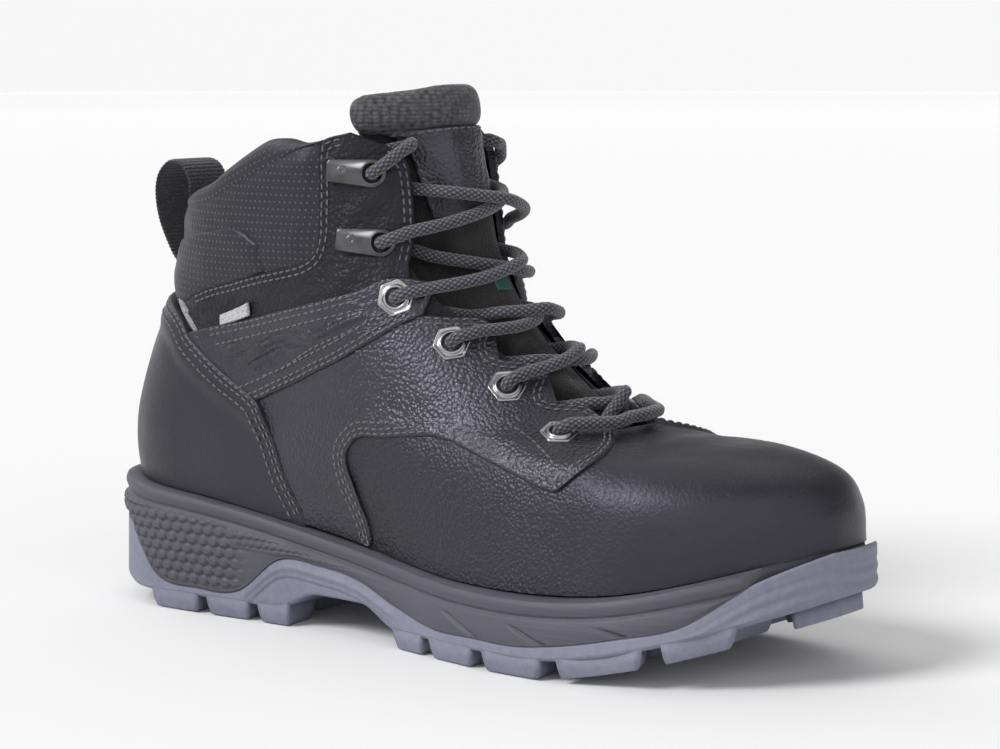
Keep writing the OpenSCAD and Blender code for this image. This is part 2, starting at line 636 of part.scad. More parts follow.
// Foam midsole, sitting inside the outsole's wraps and showing between them.
rim_inset = 3;
recess_inset = 12;
recess_depth = 1.9;
function show_z(x) = min(wrap_top(x) + 0.5, top_z(x) - 0.6);
function shown(x) = smooth((top_z(x) - wrap_top(x) - 2) / 4);
side_inset = function (x) mix(wrap_t + 0.3, 0.2, shown(x));
module midsole() {
    color(midsole_grey)
    rings([
        sole_ring(fixed(wrap_t + 4), function (x) inner_z(x) + 0.5),
        sole_ring(fixed(wrap_t + 0.4), function (x) inner_z(x) + 0.5),
        sole_ring(fixed(wrap_t + 0.4), function (x) show_z(x)),
        sole_ring(side_inset, function (x) show_z(x) + 0.05),
        sole_ring(function (x) side_inset(x) + 0.4, function (x) mix(show_z(x), top_z(x), 0.5)),
        sole_ring(function (x) max(side_inset(x), rim_inset), function (x) top_z(x)),
        sole_ring(fixed(recess_inset), function (x) top_z(x)),
        sole_ring(fixed(recess_inset + 0.3), function (x) top_z(x) - recess_depth)
    ]);
}

// Boards and footbed, cut to the inside of the upper
board_inset = vamp_lining_bottom + gap;
board_t = 1.8;
function board_ring(amount, lift) = [
    for (k = [0:sole_sides - 1])
        let (a = 360 * k / sole_sides, p = ring_point(a, 0))
        let (d = ring_point(a + 1, 0) - ring_point(a - 1, 0), n = [d[1], -d[0]] / norm([d[0], d[1]]))
        [p[0] + amount * n[0], p[1] + amount * n[1], p[2] + lift]
];
module insole_board() {
    color(fibre_board)
    rings([board_ring(board_inset, -0.2), board_ring(board_inset, board_t - 0.2)]);
}
shank_length = 100;
shank_w = 16;
shank_t = 1.3;
shank_x = -40;
module shank() {
    function line(y, lift) = [for (k = [0:10])
        let (x = shank_x + shank_length * (k / 10 - 0.5))
        [kx * x, y, feather_z(x) - 0.6 - recess_depth + 0.5 + lift]];
    color(steel)
    slab([line(-shank_w / 2, shank_t), line(shank_w / 2, shank_t)],
         [line(-shank_w / 2, 0), line(shank_w / 2, 0)], false);
}
footbed_gap = 1.6;
module footbed() {
    base = board_t + 0.1;
    color(foam_grey)
    rings([
        board_ring(board_inset + footbed_gap + 2, base),
        board_ring(board_inset + footbed_gap, base + 1.2),
        board_ring(board_inset + footbed_gap, base + footbed_t),
        board_ring(board_inset + footbed_gap + 9, base + footbed_t - 1)
    ]);
}
// Lace. A run is a list of [angle, v, height above the surface] points of its middle.
lace_under = -7.4;
lace_over = 4.9;
function hole_at(k, hand) =
    let (spot = k < 4 ? eyelets_of(hand)[k] : loops_of(hand)[k - 4])
    [hand * spot[0], spot[1]];

// Up through hole k from inside.
function rise(k, hand) = let (h = hole_at(k, hand)) [
    [h[0] * 0.97, h[1], lace_under], [h[0], h[1], -4.2], [h[0], h[1], 0], [h[0], h[1], 3]];

// From hole k over the edge and across the tongue, under the far edge and below hole k + 1.
function crossing(k, hand, high) =
    let (h = hole_at(k, hand), far = hole_at(k + 1, -hand), step = far[1] - h[1])
    let (near_edge = hand * opening_angle(h[1] + 0.25 * step))
    let (far_edge = -hand * opening_angle(h[1] + 0.75 * step), up = k == 4 ? 2.4 : 0)
    [[h[0] * 0.93, h[1] + 0.06 * step, lace_over + 0.1],
     [h[0] * 0.45 + near_edge * 0.5, h[1] + 0.17 * step, lace_over - 0.1],
     [near_edge * 0.62, h[1] + 0.32 * step, up + (high ? 5.4 : 2.4)],
     [0, h[1] + 0.5 * step, high ? 6 + 0.8 * up : 0.6 + up],
     [far_edge * 0.62, h[1] + 0.68 * step, up + (high ? 1.2 : -1.6)],
     [far_edge, h[1] + 0.82 * step, -6],
     [far[0] * 0.8, h[1] + 0.93 * step, lace_under]];

// The first crossing starts inside, under the lowest eyelet.
function low_crossing(hand, high) =
    let (h = hole_at(0, hand), far = hole_at(1, -hand), step = far[1] - h[1])
    let (near_edge = hand * opening_angle(h[1] + 0.3 * step))
    let (far_edge = -hand * opening_angle(h[1] + 0.75 * step))
    [[h[0] * 0.9, h[1] + 0.1 * step, lace_under], [near_edge * 0.95, h[1] + 0.32 * step, -7],
     [near_edge * 0.5, h[1] + 0.46 * step, high ? 0 : -1.2],
     [0, h[1] + 0.56 * step, high ? 6 : 0.6],
     [far_edge * 0.55, h[1] + 0.68 * step, high ? 1.6 : -1.4],
     [far_edge, h[1] + 0.82 * step, -6],
     [far[0] * 0.8, h[1] + 0.92 * step, lace_under]];

// Half of the lace, from the bar over the lowest eyelets up to the edge above the top loop.
function lace_half(hand) =
    let (h = hole_at(0, hand), top = hole_at(5, -hand))
    concat(
        [[h[0] * 0.55, h[1] + 0.004, 4.2], [h[0] * 0.92, h[1], 4.4], [h[0], h[1], 2.6], [h[0], h[1], -1],
         [h[0], h[1], -5.2]],
        low_crossing(hand, hand > 0),
        [for (k = [1:4]) let (s = k % 2 == 1 ? -hand : hand)
            each concat(rise(k, s), crossing(k, s, (s > 0) == (k % 2 == 1)))],
        rise(5, -hand),
        [[top[0] * 0.93, top[1] + 0.006, 5], [-hand * 39, top[1] + 0.018, 4], [-hand * 34.5, 0.942, 1.8],
         [-hand * 33, 0.945, -0.6], [-hand * 33, 0.945, -2.4]]
    );
lace_bar = [[-12, 0.492, 4.6], [0, 0.492, 4.8], [12, 0.487, 4.6]];
function finer(run) = [
    for (i = [0:len(run) - 1])
        each [if (i > 0) (run[i - 1] + run[i]) / 2, run[i]]
];
lace_run = finer(concat(reversed(lace_half(-1)), lace_bar, lace_half(1)));

// Each free end goes over the edge of the leather and hangs down inside, beside the tongue.
free_end = [[33, 0.945, -2.4], [33, 0.945, -3.8], [34.5, 0.944, -5.8], [38, 0.943, -6.5],
            [43, 0.941, -6.5], [50, 0.936, -7], [57, 0.924, -8.4], [60, 0.905, -9.4],
            [61, 0.87, -9.2], [61, 0.83, -9], [61, 0.79, -8.8], [61, 0.75, -8.6],
            [60, 0.71, -8.6], [58, 0.67, -8.6]];
aglet_length = 13;
aglet_d = lace_d - 1;

function on_surface(run, hand) = [for (p = run) skin(hand * p[0], p[1], p[2])];
function direction(path, i) =
    unit(path[min(i + 1, len(path) - 1)] - path[max(i - 1, 0)]);
function carry(side, along) = unit(side - along * (side * along));
function frames(path, i, side, done) =
    i == len(path) ? done
    : let (next = carry(side, direction(path, i))) frames(path, i + 1, next, concat(done, [next]));
module tube(path, diameter, sides) {
    count = len(path);
    across = frames(path, 0, unit(cross(direction(path, 0), [0.3, 0.5, 0.8])), []);
    polyhedron(
        points = [for (i = [0:count - 1], k = [0:sides - 1])
            let (x = across[i], y = cross(direction(path, i), x), a = 360 * k / sides)
            path[i] + diameter / 2 * (x * cos(a) + y * sin(a))],
        faces = concat(
            [[for (k = [0:sides - 1]) k]],
            [for (i = [0:count - 2], k = [0:sides - 1])
                let (a = i * sides + k, b = i * sides + (k + 1) % sides)
                each [[a, a + sides, b + sides], [a, b + sides, b]]],
            [[for (k = [sides - 1:-1:0]) (count - 1) * sides + k]]
        )
    );
}
lace_sides = 8;
module lace() {
    color(lace_grey)
    tube(on_surface(lace_run, 1), lace_d, lace_sides);
}
module lace_end(hand) {
    color(lace_grey)
    tube(on_surface(free_end, hand), lace_d, lace_sides);
}
module aglet(hand) {
    color(black_leather)
    let (path = on_surface(free_end, hand), tip = path[len(path) - 1])
    tube([tip, tip + aglet_length * direction(path, len(path) - 1)], aglet_d, 12);
}

outsole();
midsole();
shank();
insole_board();
footbed();
vamp();
quarter(1);  // quarter_outer
quarter(-1);  // quarter_inner
shaft(1);  // shaft_outer
shaft(-1);  // shaft_inner
collar_panel(1);  // collar_panel_outer
collar_panel(-1);  // collar_panel_inner
heel_counter();
toe_cap();
toe_cap_edge_pad();
counter_stiffener();
vamp_lining();
lining(1);  // lining_outer
lining(-1);  // lining_inner
collar_pad(1);  // collar_pad_outer
collar_pad(-1);  // collar_pad_inner
eyestay_backing(1);  // eyestay_backing_outer
eyestay_backing(-1);  // eyestay_backing_inner
tongue();
tongue_patch();
tongue_top();
tongue_label();
gusset(1);  // gusset_outer
gusset(-1);  // gusset_inner
eyelets(1);  // eyelets_outer
eyelets(-1);  // eyelets_inner
eyelet_washers(1);  // eyelet_washers_outer
eyelet_washers(-1);  // eyelet_washers_inner
lace_loops(1);  // lace_loops_outer
lace_loops(-1);  // lace_loops_inner
loop_washers(1);  // loop_washers_outer
loop_washers(-1);  // loop_washers_inner
pull_loop();
side_tag();
heel_piping(1);  // heel_piping_outer
heel_piping(-1);  // heel_piping_inner
lace();
lace_end(1);  // lace_end_outer
lace_end(-1);  // lace_end_inner
aglet(1);  // aglet_outer
aglet(-1);  // aglet_inner
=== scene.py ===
import math

import bmesh
import bpy
import numpy as np
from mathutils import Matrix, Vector


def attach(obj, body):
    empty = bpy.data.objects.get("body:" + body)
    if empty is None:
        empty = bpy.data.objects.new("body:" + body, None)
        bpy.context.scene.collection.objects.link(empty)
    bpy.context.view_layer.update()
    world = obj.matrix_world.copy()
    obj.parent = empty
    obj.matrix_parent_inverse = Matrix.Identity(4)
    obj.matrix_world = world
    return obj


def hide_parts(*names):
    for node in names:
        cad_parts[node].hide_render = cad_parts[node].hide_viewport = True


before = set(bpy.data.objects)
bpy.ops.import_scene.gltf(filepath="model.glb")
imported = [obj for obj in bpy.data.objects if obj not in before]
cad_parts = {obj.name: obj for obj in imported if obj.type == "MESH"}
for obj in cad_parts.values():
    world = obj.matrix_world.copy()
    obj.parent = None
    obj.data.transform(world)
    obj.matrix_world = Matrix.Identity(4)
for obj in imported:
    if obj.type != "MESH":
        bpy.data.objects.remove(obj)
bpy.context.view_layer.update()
MM = 0.001
# One unit of a piece's uv is this many millimetres.
UV_MM = 100.0
SIDES = (("outer", 1), ("inner", -1))

# ---------------------------------------------------------------- camera and stage

CAMERA_AZIMUTH, CAMERA_ELEVATION, CAMERA_DISTANCE = 36.0, 7.02, 1.011
CAMERA_TARGET = Vector((0.0, 0.016, 0.090))
CAMERA_LENS, CAMERA_REACH = 100.8, 100.0
azimuth, elevation = math.radians(CAMERA_AZIMUTH), math.radians(CAMERA_ELEVATION)
back = Vector((math.sin(azimuth) * math.cos(elevation),
               -math.cos(azimuth) * math.cos(elevation), math.sin(elevation)))
camera_data = bpy.data.cameras.new("camera")
camera_data.lens = CAMERA_LENS
camera_data.clip_end = CAMERA_REACH
camera = bpy.data.objects.new("camera", camera_data)
camera.location = CAMERA_TARGET + back * CAMERA_DISTANCE
camera.rotation_euler = back.to_track_quat("Z", "Y").to_euler()
bpy.context.collection.objects.link(camera)
bpy.context.scene.camera = camera


# ---------------------------------------------------------------- the upper's surface
# The same tilted rings as the part's source, in millimetres: v = 0 at the feather line,
# v = 1 at the top of the tongue; angle 0 is the ridge, 90 the outer side, 180 the heel.

HEEL_LINE = [[-148, 48], [-149, 58], [-148, 70], [-145, 82], [-141, 94], [-136, 106],
             [-129, 118], [-124.5, 130], [-122, 142], [-121, 152], [-120, 178]]
RIDGE_LINE = [[150, 45], [148.5, 58], [141, 68], [121, 74.5], [96, 76], [71, 80],
              [47, 95], [27, 113], [13, 134], [5, 160], [-4, 196]]
RING_SAG = [0, -4.5, -12.5, -18.5, -15.5, 0]
LATERAL_HALF = [[34, 36, 36, 48, 50, 42], [36, 38, 41, 47, 47, 40], [34, 37, 41, 44, 41, 34],
                [31, 34, 39, 42, 38, 30], [32, 37, 42, 43, 38, 30], [36, 41, 45, 46, 42, 34]]
MEDIAL_HALF = [[34, 35, 31, 42, 50, 48], [36, 38, 38, 44, 48, 44], [34, 37, 41, 42, 38, 30],
               [31, 34, 39, 39, 33, 24], [32, 37, 41, 40, 33, 25], [36, 41, 45, 45, 40, 33]]
RIDGE_ROUND = [72, 62, 58, 52, 44, 42]
HEEL_ROUND = [40, 40, 38, 36, 36, 38]
END_POWER = 2.15
BEND_START, BEND_SPAN, BEND_SHIFT = 30.0, 125.0, 9.0
ANGLE_STEP, V_STEP = 0.6, 0.008


def cubic(p0, p1, p2, p3, f):
    """Smooth curve from p1 to p2 at f from 0 to 1."""
    return p1 + f / 2 * (p2 - p0 + f * (2 * p0 - 5 * p1 + 4 * p2 - p3
                                        + f * (3 * (p1 - p2) + p3 - p0)))


def extended(table):
    """The table with one more value at each end, straight on."""
    return np.concatenate([[2 * table[0] - table[1]], table, [2 * table[-1] - table[-2]]])


def stretch_of(t, n):
    """Which of n even stretches t from 0 to 1 lies on, and how far along it."""
    c = np.clip(np.asarray(t, float), 0, 1) * n
    i = np.minimum(np.floor(c).astype(int), n - 1)
    return i, c - i


def cr(table, t):
    """Value of an evenly spaced table at t from 0 to 1, on a smooth curve through it."""
    table = np.asarray(table, float)
    full = extended(table)
    i, f = stretch_of(t, len(table) - 1)
    if table.ndim > 1:
        f = f[..., None]
    return cubic(full[i], full[i + 1], full[i + 2], full[i + 3], f)


def cr_rows(rows, t, v):
    """The table of rows at t along each row and v across them."""
    full = extended(np.stack([cr(row, t) for row in rows]))
    i, f = stretch_of(v, len(rows) - 1)
    return cubic(*(np.take_along_axis(full, (i + k)[None], 0)[0] for k in range(4)), f)


def smooth(t):
    """0 up to t = 0 and 1 from t = 1, with a soft step between."""
    c = np.clip(t, 0, 1)
    return c * c * (3 - 2 * c)


def round_off(distance, length):
    """Share of the full half width at a distance from a rounded end."""
    return np.sqrt(1 - np.clip(1 - distance / length, 0, 1) ** END_POWER)


def bend(x):
    """How far the foot's middle line swings to the inner side at x."""
    return BEND_SHIFT * (np.maximum(x - BEND_START, 0) / BEND_SPAN) ** 2


def ring(a, v):
    """Point of the surface at ring angle a and height share v."""
    a, v = np.broadcast_arrays(np.asarray(a, float), np.asarray(v, float))
    t = (1 + np.cos(np.radians(a))) / 2
    side = np.where(np.sin(np.radians(a)) > 0, -1.0, 1.0)
    heel, ridge = cr(HEEL_LINE, v), cr(RIDGE_LINE, v)
    p = heel + (ridge - heel) * t[..., None]
    span = np.linalg.norm(ridge - heel, axis=-1)
    w = np.where(side < 0, cr_rows(LATERAL_HALF, t, v), cr_rows(MEDIAL_HALF, t, v))
    w = w * round_off(t * span, cr(HEEL_ROUND, v)) * round_off((1 - t) * span, cr(RIDGE_ROUND, v))
    z = p[..., 1] + cr(RING_SAG, t) * (1 - np.clip(v, 0, 1)) ** 2
    return np.stack([p[..., 0], bend(p[..., 0]) + side * w, z], -1)


def partials(a, v):
    """How the surface moves for each degree of a and for each unit of v."""
    pa = (ring(a + ANGLE_STEP, v) - ring(a - ANGLE_STEP, v)) / (2 * ANGLE_STEP)
    high, low = np.minimum(v + V_STEP, 1.0), np.maximum(v - V_STEP, 0.0)
    return pa, (ring(a, high) - ring(a, low)) / (high - low)[..., None]


def unit(vectors):
    """The vectors at length 1."""
    return vectors / np.maximum(np.linalg.norm(vectors, axis=-1, keepdims=True), 1e-12)


def skin(a, v, d=0.0):
    """Point of the surface moved outwards by d millimetres."""
    a, v = np.broadcast_arrays(np.asarray(a, float), np.asarray(v, float))
    pa, pv = partials(a, v)
    return ring(a, v) + np.asarray(d, float)[..., None] * unit(np.cross(pv, pa))


def at(x, z):
    """Ring angle and v of the outer side's point seen at x, z from the side."""
    low, high = 0.0, 1.0
    for _ in range(30):
        v = (low + high) / 2
        heel, ridge = cr(HEEL_LINE, v), cr(RIDGE_LINE, v)
        t = min(max((x - heel[0]) / (ridge[0] - heel[0]), 0), 1)
        height = heel[1] + (ridge[1] - heel[1]) * t + cr(RING_SAG, t) * (1 - v) ** 2
        low, high = (v, high) if height < z else (low, v)
    return [math.degrees(math.acos(2 * t - 1)), v]


def foot(x):
    """The outer side's point of the feather line at x, as ring coordinates."""
    t = min(max((x - HEEL_LINE[0][0]) / (RIDGE_LINE[0][0] - HEEL_LINE[0][0]), 0), 1)
    return [math.degrees(math.acos(2 * t - 1)), 0.0]


def spots(*points):
    """Side-view points as ring coordinates."""
    return [at(x, z) for x, z in points]


def mirrored(curve):
    """The curve on the other side of the foot."""
    return [[-a, v] for a, v in curve]


def over_ridge(curve):
    """A curve that ends on the ridge, carried on down the other side."""
    return curve + mirrored(curve[:-1])[::-1]


def round_heel(curve):
    """A curve that ends at the centre back, carried on round the other side."""
    return curve + [[360 - a, v] for a, v in curve[:-1]][::-1]


def dense(curve, n, start=0.0, end=1.0):
    """n points of the smooth curve through a few, from its share start to its share end."""
    return cr(curve, np.linspace(start, end, n))


def shifted(curve, distance, steps=6):
    """A dense curve of ring coordinates moved sideways along the surface, in millimetres."""
    av = np.array(curve, float)
    for _ in range(steps):
        pa, pv = partials(av[:, 0], av[:, 1])
        along = np.gradient(ring(av[:, 0], av[:, 1]), axis=0)
        side = unit(np.cross(unit(np.cross(pv, pa)), along)) * distance / steps
        aa, bb, ab = (pa * pa).sum(-1), (pv * pv).sum(-1), (pa * pv).sum(-1)
        sa, sb = (side * pa).sum(-1), (side * pv).sum(-1)
        step = np.stack([sa * bb - sb * ab, sb * aa - sa * ab], -1)
        av = av + step / (aa * bb - ab * ab)[:, None]
    return av


# ---------------------------------------------------------------- meshes

def place(obj, body, slot, finish, *replaces):
    """Puts a piece in the scene: its body, its material and the CAD node it stands for. slot is not used."""
    if obj.name not in bpy.context.collection.objects:
        bpy.context.collection.objects.link(obj)
    obj.data.materials.clear()
    obj.data.materials.append(finish)
    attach(obj, body)
    if replaces:
        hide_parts(*replaces)
    return obj


def mesh_object(name, points, faces, uv=None):
    """Mesh from points in millimetres. uv holds one pair for each point."""
    mesh = bpy.data.meshes.new(name)
    mesh.from_pydata((np.asarray(points) * MM).tolist(), [], faces)
    mesh.polygons.foreach_set("use_smooth", [True] * len(mesh.polygons))
    if uv is not None:
        layer = mesh.uv_layers.new(name="uv")
        loops = np.empty(len(mesh.loops), int)
        mesh.loops.foreach_get("vertex_index", loops)
        layer.data.foreach_set("uv", np.asarray(uv)[loops].ravel())
    mesh.update()
    return bpy.data.objects.new(name, mesh)


def grid_faces(rows, columns, base=0, flip=False, wrap=False):
    """Quads of a grid of points. wrap joins its last column to its first."""
    i, j = np.meshgrid(np.arange(rows - 1), np.arange(columns if wrap else columns - 1), indexing="ij")
    k = (j + 1) % columns
    a, b = base + i * columns + j, base + i * columns + k
    c, d = a + columns, b + columns
    quads = np.stack([a, b, d, c] if not flip else [a, c, d, b], -1)
    return quads.reshape(-1, 4).tolist()


def running(points):
    """Length along a line of points, from its start to each point."""
    return np.concatenate([[0], np.cumsum(np.linalg.norm(np.diff(points, axis=0), axis=1))])


def lengths(points, axis):
    """Running length from the start and to the end of each line of a grid."""
    steps = np.linalg.norm(np.diff(points, axis=axis), axis=-1)
    run = np.cumsum(np.concatenate([np.zeros_like(np.take(steps, [0], axis)), steps], axis), axis)
    return run, np.take(run, [-1], axis) - run


def outward(obj):
    """Turns every face of a closed piece to the outside."""
    turned = bmesh.new()
    turned.from_mesh(obj.data)
    bmesh.ops.recalc_face_normals(turned, faces=turned.faces)
    turned.to_mesh(obj.data)
    turned.free()
    return obj


def shell(name, outer, inner, uv):
    """Closed solid between two grids of points."""
    rows, columns = outer.shape[:2]
    count = rows * columns
    edge = ([(0, j) for j in range(columns)] + [(i, columns - 1) for i in range(1, rows)]
            + [(rows - 1, j) for j in range(columns - 2, -1, -1)] + [(i, 0) for i in range(rows - 2, 0, -1)])
    index = [i * columns + j for i, j in edge]
    faces = grid_faces(rows, columns) + grid_faces(rows, columns, count, flip=True)
    faces += [[k, k + count, after + count, after] for k, after in zip(index, index[1:] + index[:1])]
    points = np.concatenate([outer.reshape(-1, 3), inner.reshape(-1, 3)])
    obj = mesh_object(name, points, faces, np.concatenate([uv, uv]))
    return outward(obj)


# Length round the ankle from the ridge to each angle, for patterns that stand upright.
GIRTH_V = 0.75
GIRTH_ANGLES = np.linspace(0, 180, 400)
GIRTH = running(ring(GIRTH_ANGLES, GIRTH_V))
# Thickness left at a rounded edge, and a distance that counts as far from every edge
EDGE_T, FAR = 0.25, 99.0


def level(height, a, v):
    """A height over the surface that is a number or a function of a and v."""
    return height(a, v) if callable(height) else np.full(a.shape, float(height))


def panel(name, low, high, columns, rows, top, bottom, radius, edges="lhse", detail=None, hand=1,
          upright=False):
    """Leather or cloth between two curves of ring coordinates. top and bottom are heights over the
    surface. The edges named (l low, h high, s start, e end) are rounded down to bottom. detail is a
    function of the points and their distances from the edges, and upright lays the uv out level."""
    even = (1 - np.cos(np.pi * np.linspace(0, 1, rows))) / 2
    along = np.linspace(0, 1, columns)
    along = 0.75 * along + 0.25 * (1 - np.cos(np.pi * along)) / 2
    if hand < 0:
        low, high = mirrored(low), mirrored(high)
    start, end = cr(low, along), cr(high, along)
    av = start[None] + (end - start)[None] * even[:, None, None]
    a, v = av[..., 0], np.clip(av[..., 1], 0, 1)
    base = ring(a, v)
    from_low, from_high = lengths(base, 0)
    from_start, from_end = lengths(base, 1)
    reach = {"l": from_low, "h": from_high, "s": from_start, "e": from_end}
    distance = np.minimum.reduce([np.full(a.shape, FAR)] + [reach[edge] for edge in edges])
    height, floor = level(top, a, v), level(bottom, a, v)
    share = 1 - np.sqrt(np.clip(1 - np.clip(1 - distance / radius, 0, 1) ** 2, 0, 1))
    lifted = height - (height - floor - EDGE_T) * share
    if detail is not None:
        lifted = lifted + detail(base, distance, from_low, from_high) * (1 - share)
    outer, inner = skin(a, v, lifted), skin(a, v, floor)
    uv = [np.interp(np.abs(a), GIRTH_ANGLES, GIRTH), base[..., 2]] if upright else [from_start, from_low]
    return shell(name, outer, inner, np.stack(uv, -1).reshape(-1, 2) / UV_MM)


def tube_rings(path, radius, bump, sides=20):
    """Points and faces of a tube along dense points, with bump(run, angle) added to its radius."""
    path = np.asarray(path, float)
    along = unit(np.gradient(path, axis=0))
    across = np.zeros_like(path)
    side = unit(np.cross(along[0], [0.3, 0.5, 0.8]))
    for i in range(len(path)):
        side = side - along[i] * (side @ along[i])
        side = side / np.linalg.norm(side)
        across[i] = side
    other = np.cross(along, across)
    angle = np.linspace(0, 2 * np.pi, sides, endpoint=False)
    run = running(path)
    r = np.full((len(path), sides), float(radius)) + bump(run[:, None], angle[None])
    points = (path[:, None] + r[..., None] * (across[:, None] * np.cos(angle)[None, :, None]
                                              + other[:, None] * np.sin(angle)[None, :, None]))
    faces = grid_faces(len(path), sides, wrap=True)
    faces += [list(range(sides - 1, -1, -1)), [(len(path) - 1) * sides + k for k in range(sides)]]
    uv = np.stack(np.broadcast_arrays(run[:, None] / UV_MM, (angle / (2 * np.pi))[None]), -1).reshape(-1, 2)
    return points.reshape(-1, 3), faces, uv


def resample(points, step):
    """The line of points again, with even steps."""
    run = running(points)
    count = max(int(round(run[-1] / step)), 2)
    even = np.linspace(0, run[-1], count + 1)
    return np.stack([np.interp(even, run, points[:, k]) for k in range(3)], -1)


def baked(obj):
    """Applies the modifiers on a piece."""
    finished = bpy.data.meshes.new_from_object(obj.evaluated_get(bpy.context.evaluated_depsgraph_get()))
    finish = obj.data.materials[0]
    obj.modifiers.clear()
    obj.data = finished
    finished.materials.clear()
    finished.materials.append(finish)
    finished.polygons.foreach_set("use_smooth", [True] * len(finished.polygons))


# Cloth simulation of a padded piece: metres, kilograms and frames
CLOTH_FRAMES, CLOTH_MASS, CLOTH_PRESSURE = 20, 0.03, 600.0
CLOTH_VOXEL, CLOTH_CAP, SEAM_HEIGHT = 0.0018, 0.0022, 0.004


def puffed(obj):
    """Swells a closed pad as cloth under pressure, its lowest part held at the seam, and subdivides it.
    No point ends further than CLOTH_CAP from where it started."""
    scene = bpy.context.scene
    remesh = obj.modifiers.new("voxels", "REMESH")
    remesh.mode = "VOXEL"
    remesh.voxel_size = CLOTH_VOXEL
    baked(obj)
    count = len(obj.data.vertices)
    start = np.empty(count * 3)
    obj.data.vertices.foreach_get("co", start)
    start = start.reshape(-1, 3)
    seam = obj.vertex_groups.new(name="seam")
    seam.add(np.flatnonzero(start[:, 2] < start[:, 2].min() + SEAM_HEIGHT).tolist(), 1.0, "REPLACE")
    cloth_modifier = obj.modifiers.new("cloth", "CLOTH")
    settings = cloth_modifier.settings
    settings.vertex_group_mass = "seam"
    settings.mass = CLOTH_MASS
    settings.use_pressure = True
    settings.uniform_pressure_force = CLOTH_PRESSURE
    settings.effector_weights.gravity = 0.0
    cloth_modifier.point_cache.frame_end = CLOTH_FRAMES
    for step in range(1, CLOTH_FRAMES + 1):
        scene.frame_set(step)
    swollen = obj.evaluated_get(bpy.context.evaluated_depsgraph_get())
    end = np.empty(count * 3)
    swollen.data.vertices.foreach_get("co", end)
    moved = end.reshape(-1, 3) - start
    size = np.maximum(np.linalg.norm(moved, axis=1, keepdims=True), 1e-9)
    end = start + moved * np.minimum(size, CLOTH_CAP) / size
    obj.modifiers.clear()
    scene.frame_set(1)
    obj.data.vertices.foreach_set("co", end.ravel())
    obj.vertex_groups.clear()
    finer = obj.modifiers.new("finer", "SUBSURF")
    finer.levels = finer.render_levels = 1
    baked(obj)


# ---------------------------------------------------------------- materials

def material(name, colour, roughness, metallic=0.0, sheen=0.0):
    """New material and its shader."""
    m = bpy.data.materials.new(name)
    m.use_nodes = True
    m.diffuse_color = (*colour, 1)
    shader = m.node_tree.nodes["Principled BSDF"]
    shader.inputs["Base Color"].default_value = (*colour, 1)
    shader.inputs["Roughness"].default_value = roughness
    shader.inputs["Metallic"].default_value = metallic
    shader.inputs["Sheen Weight"].default_value = sheen
    shader.inputs["Sheen Roughness"].default_value = 0.5
    return m, shader


class Nodes:
    """Short names for the shader nodes of one material."""

    def __init__(self, m):
        self.tree = m.node_tree

    def add(self, kind, **inputs):
        node = self.tree.nodes.new(kind)
        for key, value in inputs.items():
            self.set(node, key.replace("_", " "), value)
        return node

    def set(self, node, key, value):
        socket = node.inputs[key]
        if isinstance(value, bpy.types.NodeSocket):
            self.tree.links.new(value, socket)
        else:
            socket.default_value = value

    def position(self, scale=(1, 1, 1), uv=False):
        source = self.add("ShaderNodeTexCoord").outputs["UV" if uv else "Object"]
        mapping = self.add("ShaderNodeMapping", Vector=source)
        mapping.inputs["Scale"].default_value = scale
        return mapping.outputs[0]

    def noise(self, vector, scale, detail=4.0, rough=0.55):
        node = self.add("ShaderNodeTexNoise", Vector=vector, Scale=scale, Detail=detail, Roughness=rough)
        return node.outputs["Fac"]

    def cells(self, vector, scale, chance=1.0):
        node = self.add("ShaderNodeTexVoronoi", Vector=vector, Scale=scale, Randomness=chance)
        return node.outputs["Distance"]

    def ramp(self, value, low, high, from_low=0.0, from_high=1.0):
        node = self.add("ShaderNodeMapRange", Value=value)
        limits = {"From Min": from_low, "From Max": from_high, "To Min": low, "To Max": high}
        for key, number in limits.items():
            node.inputs[key].default_value = number
        return node.outputs[0]

    def mix(self, value, first, second):
        node = self.add("ShaderNodeMix")
        node.data_type = "RGBA"
        self.set(node, 0, value)
        for index, colour in ((6, first), (7, second)):
            if isinstance(colour, bpy.types.NodeSocket):
                self.tree.links.new(colour, node.inputs[index])
            else:
                node.inputs[index].default_value = (*colour, 1)
        return node.outputs[2]

    def math(self, operation, first, second=0.0):
        node = self.add("ShaderNodeMath")
        node.operation = operation
        self.set(node, 0, first)
        self.set(node, 1, second)
        return node.outputs[0]

    def bump(self, height, strength, distance, normal=None):
        node = self.add("ShaderNodeBump", Height=height, Strength=strength, Distance=distance)
        if normal is not None:
            self.tree.links.new(normal, node.inputs["Normal"])
        return node.outputs[0]


